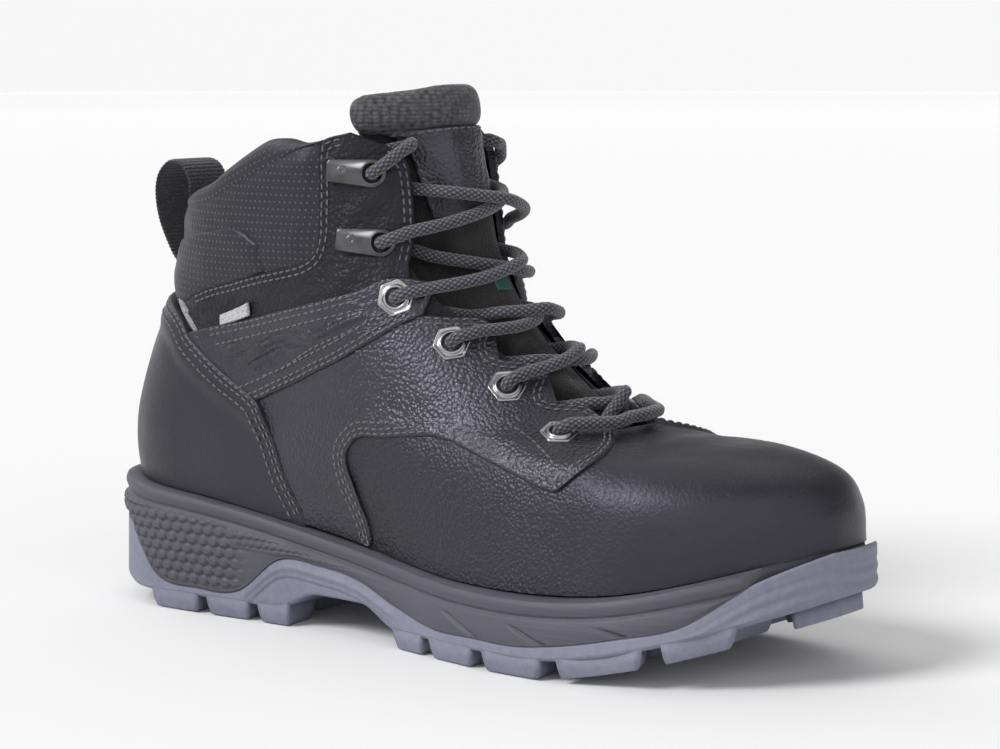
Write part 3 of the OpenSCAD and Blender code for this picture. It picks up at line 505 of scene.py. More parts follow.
def leather(name, dark, light, roughness, grain_scale, grain, crease=0.0, shine=0.5, smooth_ends=False):
    """Leather with pebbled grain, finer pores, and slow shifts of tone and gloss. crease adds folds, and
    smooth_ends fades the grain at the toe and at the heel."""
    m, shader = material(name, dark, roughness)
    shader.inputs["Specular Tint"].default_value = (0.86, 0.84, 1.0, 1)
    n = Nodes(m)
    where = n.position()
    warped = n.add("ShaderNodeMix")
    warped.data_type = "VECTOR"
    warped.inputs[0].default_value = 0.0015
    n.tree.links.new(where, warped.inputs[4])
    wobble = n.add("ShaderNodeTexNoise", Vector=where, Scale=130.0)
    n.tree.links.new(wobble.outputs["Color"], warped.inputs[5])
    pebbles = n.cells(warped.outputs[1], grain_scale)
    soft = n.ramp(pebbles, 1.0, 0.0, 0.0, 0.8)
    if smooth_ends:
        x = n.add("ShaderNodeSeparateXYZ", Vector=where).outputs[0]
        inner_stretch = n.math("MULTIPLY", n.ramp(x, 1.0, 0.2, 0.055, 0.1), n.ramp(x, 0.2, 1.0, -0.07, -0.03))
        soft = n.math("MULTIPLY", soft, inner_stretch)
    pores = n.noise(where, 2600.0, 3.0)
    wear = n.noise(where, 16.0, 5.0)
    tone = n.mix(n.ramp(wear, 0.0, 1.0, 0.35, 0.7), dark, light)
    # Painted shade: the gaps between the pebbles are darkened towards 0.55 of the dark tone; where
    # smooth_ends fades the grain, the whole surface keeps most of that darkening.
    shade = n.mix(n.ramp(soft, 0.35, 0.0), tone, tuple(c * 0.55 for c in dark))
    n.set(shader, "Base Color", shade)
    gloss = n.noise(where, 60.0, 4.0)
    n.set(shader, "Roughness", n.ramp(gloss, roughness - 0.07, roughness + 0.08, 0.3, 0.7))
    first = n.bump(soft, grain, 0.00035)
    second = n.bump(pores, grain * 0.7, 0.00015, first)
    if crease:
        folds = n.noise(n.position((1.0, 1.0, 2.2)), 95.0, 5.0, 0.6)
        second = n.bump(folds, crease, 0.0011, second)
    n.set(shader, "Normal", second)
    shader.inputs["Specular IOR Level"].default_value = shine
    return m


def cloth(name, dark, light, scale, roughness=0.85, sheen=0.25, weave=(1.0, 1.0, 1.0), chance=1.0):
    """Knit or mesh: rounded cells with dark gaps, the gaps' darkness painted shade."""
    m, shader = material(name, dark, roughness, sheen=sheen)
    n = Nodes(m)
    cells = n.cells(n.position(weave), scale, chance)
    fuzz = n.noise(n.position(), 900.0, 3.0)
    # Painted shade: the colour falls to the dark tone in the gaps between the cells.
    shade = n.mix(n.ramp(cells, 1.0, 0.0, 0.0, 0.75), dark, light)
    n.set(shader, "Base Color", n.mix(n.ramp(fuzz, 0.0, 0.35, 0.4, 0.7), shade, light))
    n.set(shader, "Normal", n.bump(fuzz, 0.3, 0.0002, n.bump(cells, 0.7, 0.0005)))
    return m


def plastic(name, dark, light, roughness, texture_scale, strength, distance=0.0003, stretch=(1, 1, 1)):
    """Foam, rubber, board or hard plastic with a fine texture and slow shifts of tone."""
    m, shader = material(name, dark, roughness)
    n = Nodes(m)
    where = n.position()
    fine = n.noise(n.position(stretch), texture_scale, 4.0)
    slow = n.math("ADD", n.math("MULTIPLY", n.noise(where, 14.0, 4.0), 0.6), n.math("MULTIPLY", fine, 0.4))
    n.set(shader, "Base Color", n.mix(n.ramp(slow, 0.0, 1.0, 0.37, 0.63), dark, light))
    n.set(shader, "Roughness", n.ramp(fine, roughness - 0.06, roughness + 0.1, 0.3, 0.7))
    n.set(shader, "Normal", n.bump(fine, strength, distance))
    return m


def metal(name, dark, light, roughness):
    """Metal with light wear."""
    m, shader = material(name, light, roughness, metallic=1.0)
    n = Nodes(m)
    where = n.position()
    wear = n.noise(where, 150.0, 5.0)
    n.set(shader, "Base Color", n.mix(n.ramp(wear, 0.0, 1.0, 0.35, 0.65), dark, light))
    gloss = n.noise(where, 300.0, 3.0)
    n.set(shader, "Roughness", n.ramp(gloss, roughness - 0.03, roughness + 0.05, 0.3, 0.7))
    n.set(shader, "Normal", n.bump(n.noise(where, 1200.0, 2.0), 0.03, 0.00002))
    return m


def perforated(name, dark, light):
    """Soft leather with rows of pin holes, set out on the piece's own uv."""
    m = leather(name, dark, light, 0.5, 420.0, 0.25)
    n = Nodes(m)
    shader = m.node_tree.nodes["Principled BSDF"]
    split = n.add("ShaderNodeSeparateXYZ", Vector=n.position((UV_MM, UV_MM, 1.0), uv=True))
    u, w = split.outputs[0], split.outputs[1]
    row = n.math("FLOOR", n.math("DIVIDE", w, HOLE_PITCH))
    offset = n.math("MULTIPLY", n.math("MODULO", row, 2.0), HOLE_PITCH / 2)
    du = n.math("SUBTRACT", n.math("FRACT", n.math("DIVIDE", n.math("ADD", u, offset), HOLE_PITCH)), 0.5)
    dw = n.math("SUBTRACT", n.math("FRACT", n.math("DIVIDE", w, HOLE_PITCH)), 0.5)
    away = n.math("SQRT", n.math("ADD", n.math("MULTIPLY", du, du), n.math("MULTIPLY", dw, dw)))
    hole = n.ramp(away, 1.0, 0.0, HOLE_RADIUS / HOLE_PITCH * 0.75, HOLE_RADIUS / HOLE_PITCH * 1.2)
    old_colour = shader.inputs["Base Color"].links[0].from_socket
    old_normal = shader.inputs["Normal"].links[0].from_socket
    n.set(shader, "Base Color", n.mix(hole, old_colour, (0.085, 0.085, 0.095)))
    n.set(shader, "Normal", n.bump(n.ramp(hole, 1.0, 0.0), 0.8, 0.0006, old_normal))
    return m


def braid(name, dark, light):
    """Braided cord: two families of slanting strands crossing over each other."""
    m, shader = material(name, dark, 0.7, sheen=0.3)
    n = Nodes(m)
    split = n.add("ShaderNodeSeparateXYZ", Vector=n.position(uv=True))
    u, w = split.outputs[0], split.outputs[1]
    turns = n.math("MULTIPLY", w, float(BRAID_STRANDS))
    run = n.math("MULTIPLY", u, UV_MM / BRAID_PITCH)
    right = n.math("FRACT", n.math("ADD", turns, run))
    left = n.math("FRACT", n.math("SUBTRACT", turns, run))
    over = n.math("PINGPONG", right, 0.5)
    under = n.math("PINGPONG", left, 0.5)
    height = n.math("MAXIMUM", over, under)
    fleck = n.math("GREATER_THAN", n.math("MULTIPLY", over, under), 0.1)
    fibre = n.noise(n.position(), 3200.0, 2.0)
    # Painted shade: the grooves between the strands are darkened to 0.35 of the dark tone.
    shade = n.mix(n.ramp(height, 0.0, 1.0, 0.22, 0.5), tuple(c * 0.35 for c in dark), dark)
    pale = n.math("MULTIPLY", fleck, n.ramp(fibre, 0.5, 1.0, 0.4, 0.6))
    n.set(shader, "Base Color", n.mix(pale, shade, light))
    n.set(shader, "Normal", n.bump(height, 0.9, 0.0006))
    return m


# Perforations and lace braid, in millimetres
HOLE_PITCH, HOLE_RADIUS = 2.5, 0.42
BRAID_PITCH, BRAID_STRANDS = 2.4, 8

vamp_leather = leather("vamp leather", (0.012, 0.0115, 0.0155), (0.019, 0.0182, 0.0245), 0.40, 800.0, 0.9,
                       shine=0.55, smooth_ends=True)
grained_leather = leather("grained leather", (0.012, 0.0116, 0.0152), (0.021, 0.0202, 0.0262), 0.37, 750.0,
                          0.8, shine=0.75)
band_leather = leather("band leather", (0.010, 0.0097, 0.0128), (0.018, 0.0174, 0.0228), 0.35, 750.0, 0.5,
                       0.7, 0.75)
# Painted shade in part: the facings get a darker copy of the leather, its own darker tone deepened for the
# shade by the lace loops.
shade_darkened_facing_leather = leather("creased leather", (0.006, 0.0059, 0.0074), (0.011, 0.0107, 0.0138), 0.42, 700.0,
                          0.8, 1.0, 0.36)
collar_leather = perforated("perforated leather", (0.012, 0.0116, 0.0155), (0.018, 0.0174, 0.0232))
tongue_cloth = cloth("tongue nubuck", (0.008, 0.008, 0.009), (0.018, 0.018, 0.020), 1400.0, 0.95, 0.15)
lining_cloth = cloth("lining knit", (0.012, 0.012, 0.014), (0.035, 0.035, 0.04), 900.0)
mesh_cloth = cloth("tongue mesh", (0.006, 0.006, 0.007), (0.100, 0.098, 0.112), 430.0, 0.75, 0.2,
                   (1.0, 1.0, 1.7), 0.4)
webbing_cloth = cloth("webbing", (0.014, 0.014, 0.017), (0.05, 0.05, 0.06), 1300.0, 0.75, 0.2)
footbed_cloth = cloth("footbed cloth", (0.02, 0.02, 0.022), (0.06, 0.06, 0.065), 700.0)
thread = cloth("thread", (0.075, 0.075, 0.088), (0.19, 0.19, 0.21), 2500.0, 0.6, 0.1)
tag_cloth = cloth("tag", (0.30, 0.30, 0.31), (0.62, 0.62, 0.62), 1500.0, 0.6, 0.1)
piping_cloth = cloth("piping", (0.12, 0.12, 0.12), (0.42, 0.42, 0.41), 1600.0, 0.5, 0.1)
label_cloth = cloth("green label", (0.004, 0.05, 0.045), (0.012, 0.12, 0.105), 1500.0, 0.6, 0.1)
lace_cord = braid("lace braid", (0.040, 0.040, 0.056), (0.17, 0.17, 0.21))
midsole_foam = plastic("midsole foam", (0.055, 0.053, 0.068), (0.082, 0.079, 0.100), 0.58, 620.0, 0.6, 0.0003,
                       (0.06, 0.06, 1.7))
outsole_rubber = plastic("outsole rubber", (0.140, 0.142, 0.195), (0.195, 0.198, 0.262), 0.6, 420.0, 0.6,
                         0.0005)
nickel = metal("nickel", (0.34, 0.34, 0.355), (0.44, 0.44, 0.455), 0.27)
gunmetal = metal("gunmetal", (0.085, 0.085, 0.088), (0.135, 0.135, 0.14), 0.36)
steel = metal("steel", (0.3, 0.3, 0.31), (0.55, 0.55, 0.57), 0.35)
aglet_plastic = plastic("aglet", (0.01, 0.01, 0.012), (0.02, 0.02, 0.022), 0.2, 300.0, 0.05)
fibre_board = plastic("fibre board", (0.32, 0.24, 0.15), (0.45, 0.35, 0.23), 0.9, 1500.0, 0.3)
foam = cloth("foam", (0.05, 0.05, 0.06), (0.12, 0.12, 0.14), 800.0)


# ---------------------------------------------------------------- free lace ends

LACE_R = 2.25
# Rows of ring angle, v and height over the surface, from the top lace loop down inside the shaft
FREE_END = [[33, 0.945, -2.4], [33, 0.945, -3.8], [34.5, 0.944, -5.8], [38, 0.943, -6.5],
            [43, 0.941, -6.5], [50, 0.936, -7], [57, 0.924, -8.4], [60, 0.905, -9.4],
            [61, 0.87, -9.2], [61, 0.83, -9], [61, 0.79, -8.8], [61, 0.75, -8.6],
            [60, 0.71, -8.6], [58, 0.67, -8.6]]
AGLET_LENGTH, AGLET_R, AGLET_RINGS = 13.0, 1.75, 40
LACE_STEP, BRAID_RELIEF, BRAID_DEPTH = 0.8, 0.09, 0.05
CORD_EVERY = 6


def braid_bump(run, angle):
    """The braid's relief: two families of strands crossing."""
    turn = 2 * np.pi * run / BRAID_PITCH
    return BRAID_RELIEF * np.cos(BRAID_STRANDS * angle + turn) * np.cos(BRAID_STRANDS * angle - turn)


def braided(name, path):
    """Round braided lace along a dense path."""
    points, faces, uv = tube_rings(path, LACE_R - BRAID_DEPTH, braid_bump)
    return mesh_object(name, points, faces, uv)


def aglet_bump(run, angle):
    """The aglet's last rings draw in."""
    rings = np.arange(AGLET_RINGS)
    taper = np.where(rings > AGLET_RINGS - 4, 0.93 - 0.07 * (rings - AGLET_RINGS + 3), 1.0)
    return -AGLET_R * (1 - np.interp(run, np.linspace(0, AGLET_LENGTH, AGLET_RINGS), taper))


def lace_end(side_name, hand):
    """The free end of the lace tucked down inside the shaft, and its aglet."""
    run = dense(FREE_END, 260)
    path = resample(skin(run[:, 0] * hand, run[:, 1], run[:, 2]), LACE_STEP)
    end = place(braided("lace_end_" + side_name, path),
                "upper", "lace_cord", lace_cord, "lace_end_" + side_name)
    tip = unit(path[-1] - path[-4])
    aglet_path = np.array([path[-1] + tip * s for s in np.linspace(0.0, AGLET_LENGTH, AGLET_RINGS)])
    points, faces, uv = tube_rings(aglet_path, AGLET_R, aglet_bump)
    aglet = place(mesh_object("aglet_" + side_name, points, faces, uv),
                  "upper", "aglet_plastic", aglet_plastic, "aglet_" + side_name)
    line = path[::CORD_EVERY]
    if (len(path) - 1) % CORD_EVERY:
        line = np.concatenate([line, path[-1:]])


for side_name, hand in SIDES:
    lace_end(side_name, hand)


# ---------------------------------------------------------------- outer leather

def wrinkle(scale, amount, seed):
    """A field of smooth, uneven folds about scale millimetres apart, made of a few crossed waves."""
    rng = np.random.default_rng(seed)
    waves = [(rng.normal(size=3) / s, rng.uniform(0, 6.28), s / scale)
             for s in scale * np.array([1, 0.6, 0.45, 0.3, 0.8])]

    def field(base):
        total = np.zeros(base.shape[:-1])
        for direction, phase, weight in waves:
            sway = 1.3 * np.sin(base @ direction[::-1] + phase)
            total += weight * np.sin(base @ direction * 2.2 + phase + sway)
        return amount * total / 2
    return field


THREAD_R, STITCH_LENGTH, STITCH_GAP, STITCH_SLANT, THREAD_SIDES = 0.37, 2.3, 0.95, 0.12, 6
# (share of the stitch's length, width, lift over the leather) of each ring of a stitch, in thread radii
STITCH_SHAPE = [(0.0, 0.35, -0.25), (0.12, 0.85, 0.05), (0.5, 1.0, 0.22), (0.88, 0.85, 0.05),
                (1.0, 0.35, -0.25)]


def along_line(line, run, s):
    """Point of a line at running length s."""
    return np.array([np.interp(s, run, line[:, k]) for k in range(3)])


def stitches(name, curve, height, hand=1, body="upper"):
    """A row of stitches along a dense curve of ring coordinates, height over the surface."""
    av = np.array(curve, float)
    if hand < 0:
        av[:, 0] = -av[:, 0]
    line = skin(av[:, 0], av[:, 1], np.broadcast_to(np.asarray(height, float), av.shape[:1]))
    pa, pv = partials(av[:, 0], av[:, 1])
    out = unit(np.cross(pv, pa))
    run = running(line)
    count = int((run[-1] - 1.0) / (STITCH_LENGTH + STITCH_GAP))
    points, faces = [], []
    for start in 0.5 + np.arange(count) * (STITCH_LENGTH + STITCH_GAP):
        first, last = (along_line(line, run, s) for s in (start, start + STITCH_LENGTH))
        normal = unit(along_line(out, run, start + STITCH_LENGTH / 2))
        side = unit(np.cross(normal, last - first))
        base = len(points)
        for share, width, lift in STITCH_SHAPE:
            centre = first + (last - first) * share + normal * (lift * THREAD_R * 1.5)
            centre = centre + side * STITCH_SLANT * (share - 0.5)
            for t in np.linspace(0, 2 * np.pi, THREAD_SIDES, endpoint=False):
                points.append(centre + THREAD_R * width * (side * math.cos(t) + normal * 0.8 * math.sin(t)))
        faces += grid_faces(len(STITCH_SHAPE), THREAD_SIDES, base, wrap=True)
        faces.append([base + k for k in range(THREAD_SIDES - 1, -1, -1)])
        faces.append([len(points) - THREAD_SIDES + k for k in range(THREAD_SIDES)])
    return place(mesh_object(name, points, faces), body, "smooth_leather", thread)


# Heights of the leather's faces over the surface
VAMP_H, QUARTER_H, COUNTER_H, BAND_H, FACING_H, COLLAR_H = 0.0, 1.1, 1.5, 2.3, 1.4, 0.6
LEATHER_FLOOR, BAND_FLOOR, STITCH_LIFT = -1.6, -1.2, 0.08
# The counter's top edge stands out further above this height.
COUNTER_RISE, COUNTER_RISE_Z = 1.4, 66

# Vamp: one piece over the toe, running on under the quarters.
VAMP_LOW = [foot(-19), foot(-8), foot(6), foot(24), foot(42), foot(58), foot(74), foot(88), foot(100),
            foot(112), foot(124), foot(134), foot(143), [0, 0]]
VAMP_HIGH = spots((-21, 44), (-29, 56), (-31, 68), (-24, 77), (-10, 81), (8, 83), (28, 81), (46, 76),
                  (58, 71), (63, 75), (62, 81)) + [[17, 0.492], [8, 0.496], [0, 0.497]]


def vamp_detail(base, distance, from_low, from_high):
    """A soft flex crease behind the toe and slight unevenness."""
    crease = -0.35 * np.exp(-((base[..., 0] - 84 - 0.12 * np.abs(base[..., 1])) / 5) ** 2)
    return crease * smooth((base[..., 2] - 55) / 20) + wrinkle(30.0, 0.10, 3)(base)


place(panel("vamp", over_ridge(VAMP_LOW), over_ridge(VAMP_HIGH), 420, 90, VAMP_H, LEATHER_FLOOR, 0.8, "h",
            vamp_detail), "upper", "smooth_leather", vamp_leather, "vamp")

QUARTER_LOW = [foot(-56), foot(-43), foot(-30), foot(-17.5)] + spots(
    (-15.5, 39), (-18.5, 48), (-22.5, 57), (-23.5, 66), (-17, 72.2), (-7, 73), (4, 74.3), (14, 75.3),
    (22, 74.3), (30, 72), (37, 69.8), (43, 68), (48.5, 66.3), (54, 64.6), (59, 63), (63.5, 61.9),
    (67.5, 61.7), (70.8, 65))
QUARTER_HIGH = spots(
    (-77, 79), (-73.5, 80.8), (-69, 83.3), (-63.5, 86.2), (-58, 89), (-52, 92), (-45.5, 95.3), (-38, 99),
    (-29, 103.5), (-19, 108.5), (-9, 113.5), (0, 116), (10, 115.4), (17, 114.8), (21.5, 111), (23.5, 104.5),
    (27.5, 101.3), (36.5, 99.3), (42.5, 94.5), (46, 88), (56.5, 85.6), (67, 80))
# Share of QUARTER_LOW that lies along the feather line
LOW_START = 3.0 / 21


def quarter_detail(base, distance, from_low, from_high):
    return wrinkle(24.0, 0.14, 5)(base) * smooth(distance / 6)


# Facing with the lace loops, the band round the ankle and the collar
FACING_LOW = spots((-108, 103), (-92, 103), (-74, 106), (-56, 110), (-38, 114), (-22, 117), (-9, 117),
                   (-3.5, 124), (-5, 133), (-5, 142), (-6, 152), (-7.5, 161), (-9.5, 168.5), (-15, 174))
FACING_HIGH = spots((-106, 116.5), (-94, 120.8), (-80, 124.2), (-66, 127.6), (-53, 130.2), (-43, 132.6),
                    (-37.5, 136.5), (-35.6, 143), (-35.3, 150), (-35, 157), (-35, 164), (-35, 170),
                    (-33.5, 175.5), (-25, 178.3))
BAND_LOW = spots((-76, 77.5), (-65, 81.5), (-53, 86.5), (-40, 92.3), (-27, 98), (-15, 104.5), (-5, 110.6),
                 (2.5, 115.2))
BAND_HIGH = spots((-109, 102), (-90, 107), (-71, 111.5), (-52, 116.2), (-34, 120.3), (-20, 124),
                  (-9.5, 128.6), (3.2, 126.6))
CRUMPLE = [(-89, 99), (-17, 117), (-14, 113.5), (-66, 89.5)]
COLLAR_LOW = [[180, 0.592]] + spots((-112, 112), (-96, 116), (-80, 121), (-63, 125.5), (-46, 130), (-36, 135),
                                    (-33, 145), (-33, 156), (-33, 167), (-31, 174.5))
COLLAR_HIGH = [[180, 0.885]] + spots((-113, 150), (-98, 152), (-88, 154), (-79, 158), (-70, 162), (-61, 166),
                                     (-53, 169), (-46, 171.6), (-39, 173.6), (-33.5, 175))
PAD_LOW = [[180, 0.597]] + spots((-115, 113), (-100, 117), (-84, 121.5), (-70, 125), (-60, 128.5))
PAD_HIGH = [[180, 0.70]] + spots((-118, 135), (-104, 139.5), (-88, 142.3), (-73, 144.5), (-60.5, 139))


def inside_crumple(base):
    """1 inside the crumpled panel of the ankle band, 0 outside, with soft edges."""
    share = np.ones(base.shape[:-1])
    corners = np.array(CRUMPLE, float)
    for k in range(4):
        p, q = corners[k], corners[(k + 1) % 4]
        edge = (q - p) / np.linalg.norm(q - p)
        away = (base[..., 0] - p[0]) * edge[1] - (base[..., 2] - p[1]) * edge[0]
        share = share * smooth((away - 0.3) / 2.4)
    return share


def band_detail(base, distance, from_low, from_high):
    """Long uneven folds that run along the crumpled panel, which slopes by about 20 degrees."""
    along = 0.94 * base[..., 0] + 0.34 * base[..., 2]
    over = 0.94 * base[..., 2] - 0.34 * base[..., 0]
    wave = np.sin(0.60 * over + 1.2 * np.sin(0.08 * along + 0.3) + 0.4 * np.sin(0.17 * along + 1.0))
    ridges = (1 - wave ** 2) * (0.75 + 0.25 * np.sin(0.15 * along - 0.4 * over + 1.0))
    folds = 1.6 * ridges + wrinkle(14.0, 0.4, 13)(base)
    return inside_crumple(base) * folds + wrinkle(16.0, 0.18, 12)(base)


def facing_detail(base, distance, from_low, from_high):
    return wrinkle(15.0, 0.42, 21)(base) * smooth(distance / 8)


def collar_bulge(base, distance, from_low, from_high):
    return 2.2 * smooth(from_low / 12) * smooth(from_high / 9 + 0.25) + wrinkle(26.0, 0.25, 31)(base)


def pad_bulge(base, distance, from_low, from_high):
    return 0.9 * smooth(distance / 6) + 2.0 * smooth(from_low / 12)


def counter_rise(z):
    return COUNTER_RISE * smooth((z - COUNTER_RISE_Z) / 12)


def counter_detail(base, distance, from_low, from_high):
    return wrinkle(40.0, 0.15, 41)(base) + counter_rise(base[..., 2]) * smooth((14 - from_high) / 6)


COUNTER_LOW = [foot(-47.5), foot(-56), foot(-70), foot(-88), foot(-108), foot(-128), foot(-141), [180, 0]]
COUNTER_HIGH = spots((-48.4, 42), (-55.6, 58), (-62, 75), (-67.5, 83), (-84, 91), (-100, 100.5),
                     (-113, 110.5)) + [[180, 0.578]]

for side_name, hand in SIDES:
    place(panel("quarter_" + side_name, QUARTER_LOW, QUARTER_HIGH, 320, 70, QUARTER_H, LEATHER_FLOOR, 1.3,
                "lhe", quarter_detail, hand),
          "upper", "grained_leather", grained_leather, "quarter_" + side_name)
    place(panel("collar_" + side_name, COLLAR_LOW, COLLAR_HIGH, 170, 60, COLLAR_H, LEATHER_FLOOR, 1.0, "e",
                collar_bulge, hand, True),
          "upper", "perforated_leather", collar_leather, "collar_panel_" + side_name)
    place(panel("heel_pad_" + side_name, PAD_LOW, PAD_HIGH, 110, 40, COLLAR_H + 1.0, COLLAR_H - 1.2, 2.0,
                "lhe", pad_bulge, hand, True),
          "upper", "perforated_leather", collar_leather)
    place(panel("facing_" + side_name, FACING_LOW, FACING_HIGH, 300, 50, FACING_H, LEATHER_FLOOR, 1.3, "lhse",
                facing_detail, hand),
          "upper", "grained_leather", shade_darkened_facing_leather, "shaft_" + side_name)
    place(panel("ankle_band_" + side_name, BAND_LOW, BAND_HIGH, 240, 70, BAND_H, BAND_FLOOR, 1.3, "lhse",
                band_detail, hand),
          "upper", "grained_leather", band_leather)
place(panel("heel_counter", round_heel(COUNTER_LOW), round_heel(COUNTER_HIGH), 360, 70, COUNTER_H,
            LEATHER_FLOOR, 1.3, "hse", counter_detail),
      "upper", "smooth_leather", vamp_leather, "heel_counter")


def across_end(low, high, start, end, n):
    """n points over a panel's far end, from its low curve to its high one."""
    first, last = cr(low, 1.0), cr(high, 1.0)
    return np.array([first + (last - first) * t for t in np.linspace(start, end, n)])


def seam(name, curve, height, *distances):
    """Rows of stitches at these distances from an edge."""
    return [(name + "_" + str(k), shifted(curve, distance), height)
            for k, distance in enumerate(distances, 1)]


counter_edge = dense(COUNTER_HIGH, 500, 0.0, 0.997)
counter_height = COUNTER_H + counter_rise(ring(counter_edge[:, 0], counter_edge[:, 1])[:, 2])
band_end_row = shifted(across_end(BAND_LOW, BAND_HIGH, 0, 1, 40), 1.8)[4:-4]
arc = spots((-20, 102.5), (-12, 103), (-3, 102), (8, 98), (27, 87), (46, 78), (67, 67.5))
crumple_top = spots((-89, 99.5), (-65, 105.5), (-41, 111.5), (-19, 117))
crumple_end = spots((-19, 117), (-15.5, 116.5), (-15, 113), (-20, 110.5))
crumple_low = spots((-20, 110.5), (-40, 101.5), (-66, 89.5))
stitch_rows = (
    seam("vamp_seam", dense(QUARTER_LOW, 700, LOW_START + 0.01), QUARTER_H, 1.7, 3.4, 5.6)
    + seam("scallop", dense(QUARTER_HIGH, 700, 10.0 / 21), QUARTER_H, -1.8, -3.7)
    + seam("band_low", dense(BAND_LOW, 400), BAND_H, 1.7, 3.5, 7.0)
    + seam("band_high", dense(BAND_HIGH, 400, 0.12, 0.985), BAND_H, -1.7, -3.8)
    + [("band_tip_1", band_end_row, BAND_H)]
    + seam("facing", dense(FACING_HIGH, 600, 0.02), FACING_H, -1.7, -3.7)
    + seam("facing_front", dense(FACING_LOW, 400, 8.0 / 13), FACING_H, 1.8, 3.9)
    + seam("counter", counter_edge, counter_height, 1.6, 3.4, 6.6)
    + seam("quarter_tip", across_end(QUARTER_LOW, QUARTER_HIGH, 0.06, 0.97, 60), QUARTER_H, 1.8, 3.6)
    + [("arc", dense(arc, 400), QUARTER_H), ("crumple_top", dense(crumple_top, 200), BAND_H),
       ("crumple_end", dense(crumple_end, 60), BAND_H), ("crumple_low", dense(crumple_low, 200), BAND_H)])
for side_name, hand in SIDES:
    for name, curve, height in stitch_rows:
        stitches("stitch_" + name + "_" + side_name, curve, height + STITCH_LIFT, hand)


# ---------------------------------------------------------------- lining, collar roll and tongue

LINING_TOP, LINING_T, PAD_T = 4.1, 1.2, 6.5
LINING_LOW = [[179.9, 0.004], foot(-110), foot(-65), foot(-16)] + spots((-23.5, 60), (9, 76.5))
LINING_HIGH = [[179.9, 0.875]] + spots((-95, 150), (-62, 163), (-33, 172), (-26, 146), (3, 98))
# The collar's roll: its outer and inner depths, the leather's thickness, and its rise as a share of v
ROLL_OUT, ROLL_IN, ROLL_T, ROLL_RISE = COLLAR_H + 0.9, -5.3, 1.0, 0.021


def pad_share(a, v):
    """How much of the collar's foam lies under a place: none at the front and below the ankle."""
    p = ring(a, np.clip(v, 0, 1))
    return smooth((-36 - p[..., 0]) / 14) * smooth((p[..., 2] - 118) / 14)


def lining_out(a, v):
    return -(LINING_TOP + PAD_T * pad_share(a, v))


def lining_in(a, v):
    return -(LINING_TOP + LINING_T + PAD_T * pad_share(a, v))


def collar_roll(side_name, hand):
    """The roll that carries the collar leather over the foam and down to the lining."""
    top = dense(COLLAR_HIGH, 150)
    top[:, 0] = np.minimum(top[:, 0], 179.9)
    top[:, 0] *= hand
    inner_d = ROLL_IN - PAD_T * pad_share(top[:, 0], top[:, 1])
    middle, reach = (ROLL_OUT + inner_d) / 2, (ROLL_OUT - inner_d) / 2
    roll_share = 0.15 + 0.85 * smooth((-36 - ring(top[:, 0], top[:, 1])[:, 0]) / 24)

    def face(radius):
        rows = []
        for t in np.linspace(-0.35, math.pi + 0.5, 26):
            v = top[:, 1] + ROLL_RISE * math.sin(t) * (radius / 6.0) * roll_share
            rows.append(skin(top[:, 0], np.clip(v, 0, 0.999), middle + radius * math.cos(t)))
        return np.array(rows)

    outer = face(reach)
    uv = np.stack([lengths(outer, 1)[0], lengths(outer, 0)[0]], -1).reshape(-1, 2) / UV_MM
    roll = place(shell("collar_roll_" + side_name, outer, face(reach - ROLL_T), uv),
                 "upper", "perforated_leather", collar_leather, "collar_pad_" + side_name)


for side_name, hand in SIDES:
    collar_roll(side_name, hand)
    place(panel("lining_" + side_name, LINING_LOW, LINING_HIGH, 140, 90, lining_out, lining_in, 0.5, "",
                hand=hand),
          "upper", "lining_fabric", lining_cloth, "lining_" + side_name)

TONGUE_T, TONGUE_DEPTH, TONGUE_DIP = 5.0, 3.2, 7.3
TONGUE_EDGE = [[26, 0.515], [30, 0.56], [32, 0.61], [35, 0.66], [40, 0.715], [46, 0.77], [50, 0.825],
               [48, 0.88], [48, 0.925], [52, 0.962]]


def opening_angle(v):
    """Half the angle of the boot's opening over the tongue."""
    return 19 + 19 * np.clip((v - 0.5) / 0.4, 0, 1)


def tongue_out(a, v):
    """Height of the tongue's face: it dips under the facings, and less so at its top."""
    return -(TONGUE_DEPTH + (1 - 0.6 * smooth((v - 0.93) / 0.05)) * TONGUE_DIP
             * smooth((np.abs(a) / opening_angle(v) - 0.3) / 0.65))


def over_tongue(lift):
    """A height function: lift over the tongue's face."""
    return lambda a, v: tongue_out(a, v) + lift


def tongue_detail(base, distance, from_low, from_high):
    """Slight folds and a quilted line inside each edge."""
    quilt = -0.5 * np.exp(-((from_low - 12) / 1.2) ** 2) - 0.5 * np.exp(-((from_high - 12) / 1.2) ** 2)
    return wrinkle(9.0, 0.22, 51)(base) + quilt


def patch_detail(base, distance, from_low, from_high):
    return wrinkle(12.0, 0.3, 61)(base) * smooth(distance / 6)


tongue = place(panel("tongue", TONGUE_EDGE, mirrored(TONGUE_EDGE), 170, 90, tongue_out,
                     over_tongue(-TONGUE_T), 2.2, "lhse", tongue_detail),
               "tongue", "lining_fabric", tongue_cloth, "tongue")

PATCH_EDGE = [[29, 0.862], [30, 0.885], [31, 0.91], [32, 0.93], [36, 0.949], [46, 0.959]]
place(panel("tongue_patch", PATCH_EDGE, mirrored(PATCH_EDGE), 90, 110, over_tongue(1.45), over_tongue(0.1),
            1.0, "lhse", patch_detail),
      "tongue", "perforated_leather", grained_leather, "tongue_patch")
patch_line = dense([[40, 0.9545], [20, 0.956], [0, 0.9565], [-20, 0.956], [-40, 0.9545]], 260)
patch_side = dense([[27.6, 0.872], [28.4, 0.895], [29.3, 0.92], [32, 0.94], [38, 0.952]], 200)
for name, curve in (("top", patch_line), ("left", patch_side), ("right", patch_side * [-1, 1])):
    stitches("stitch_patch_" + name, curve, tongue_out(curve[:, 0], curve[:, 1]) + 1.5, body="tongue")

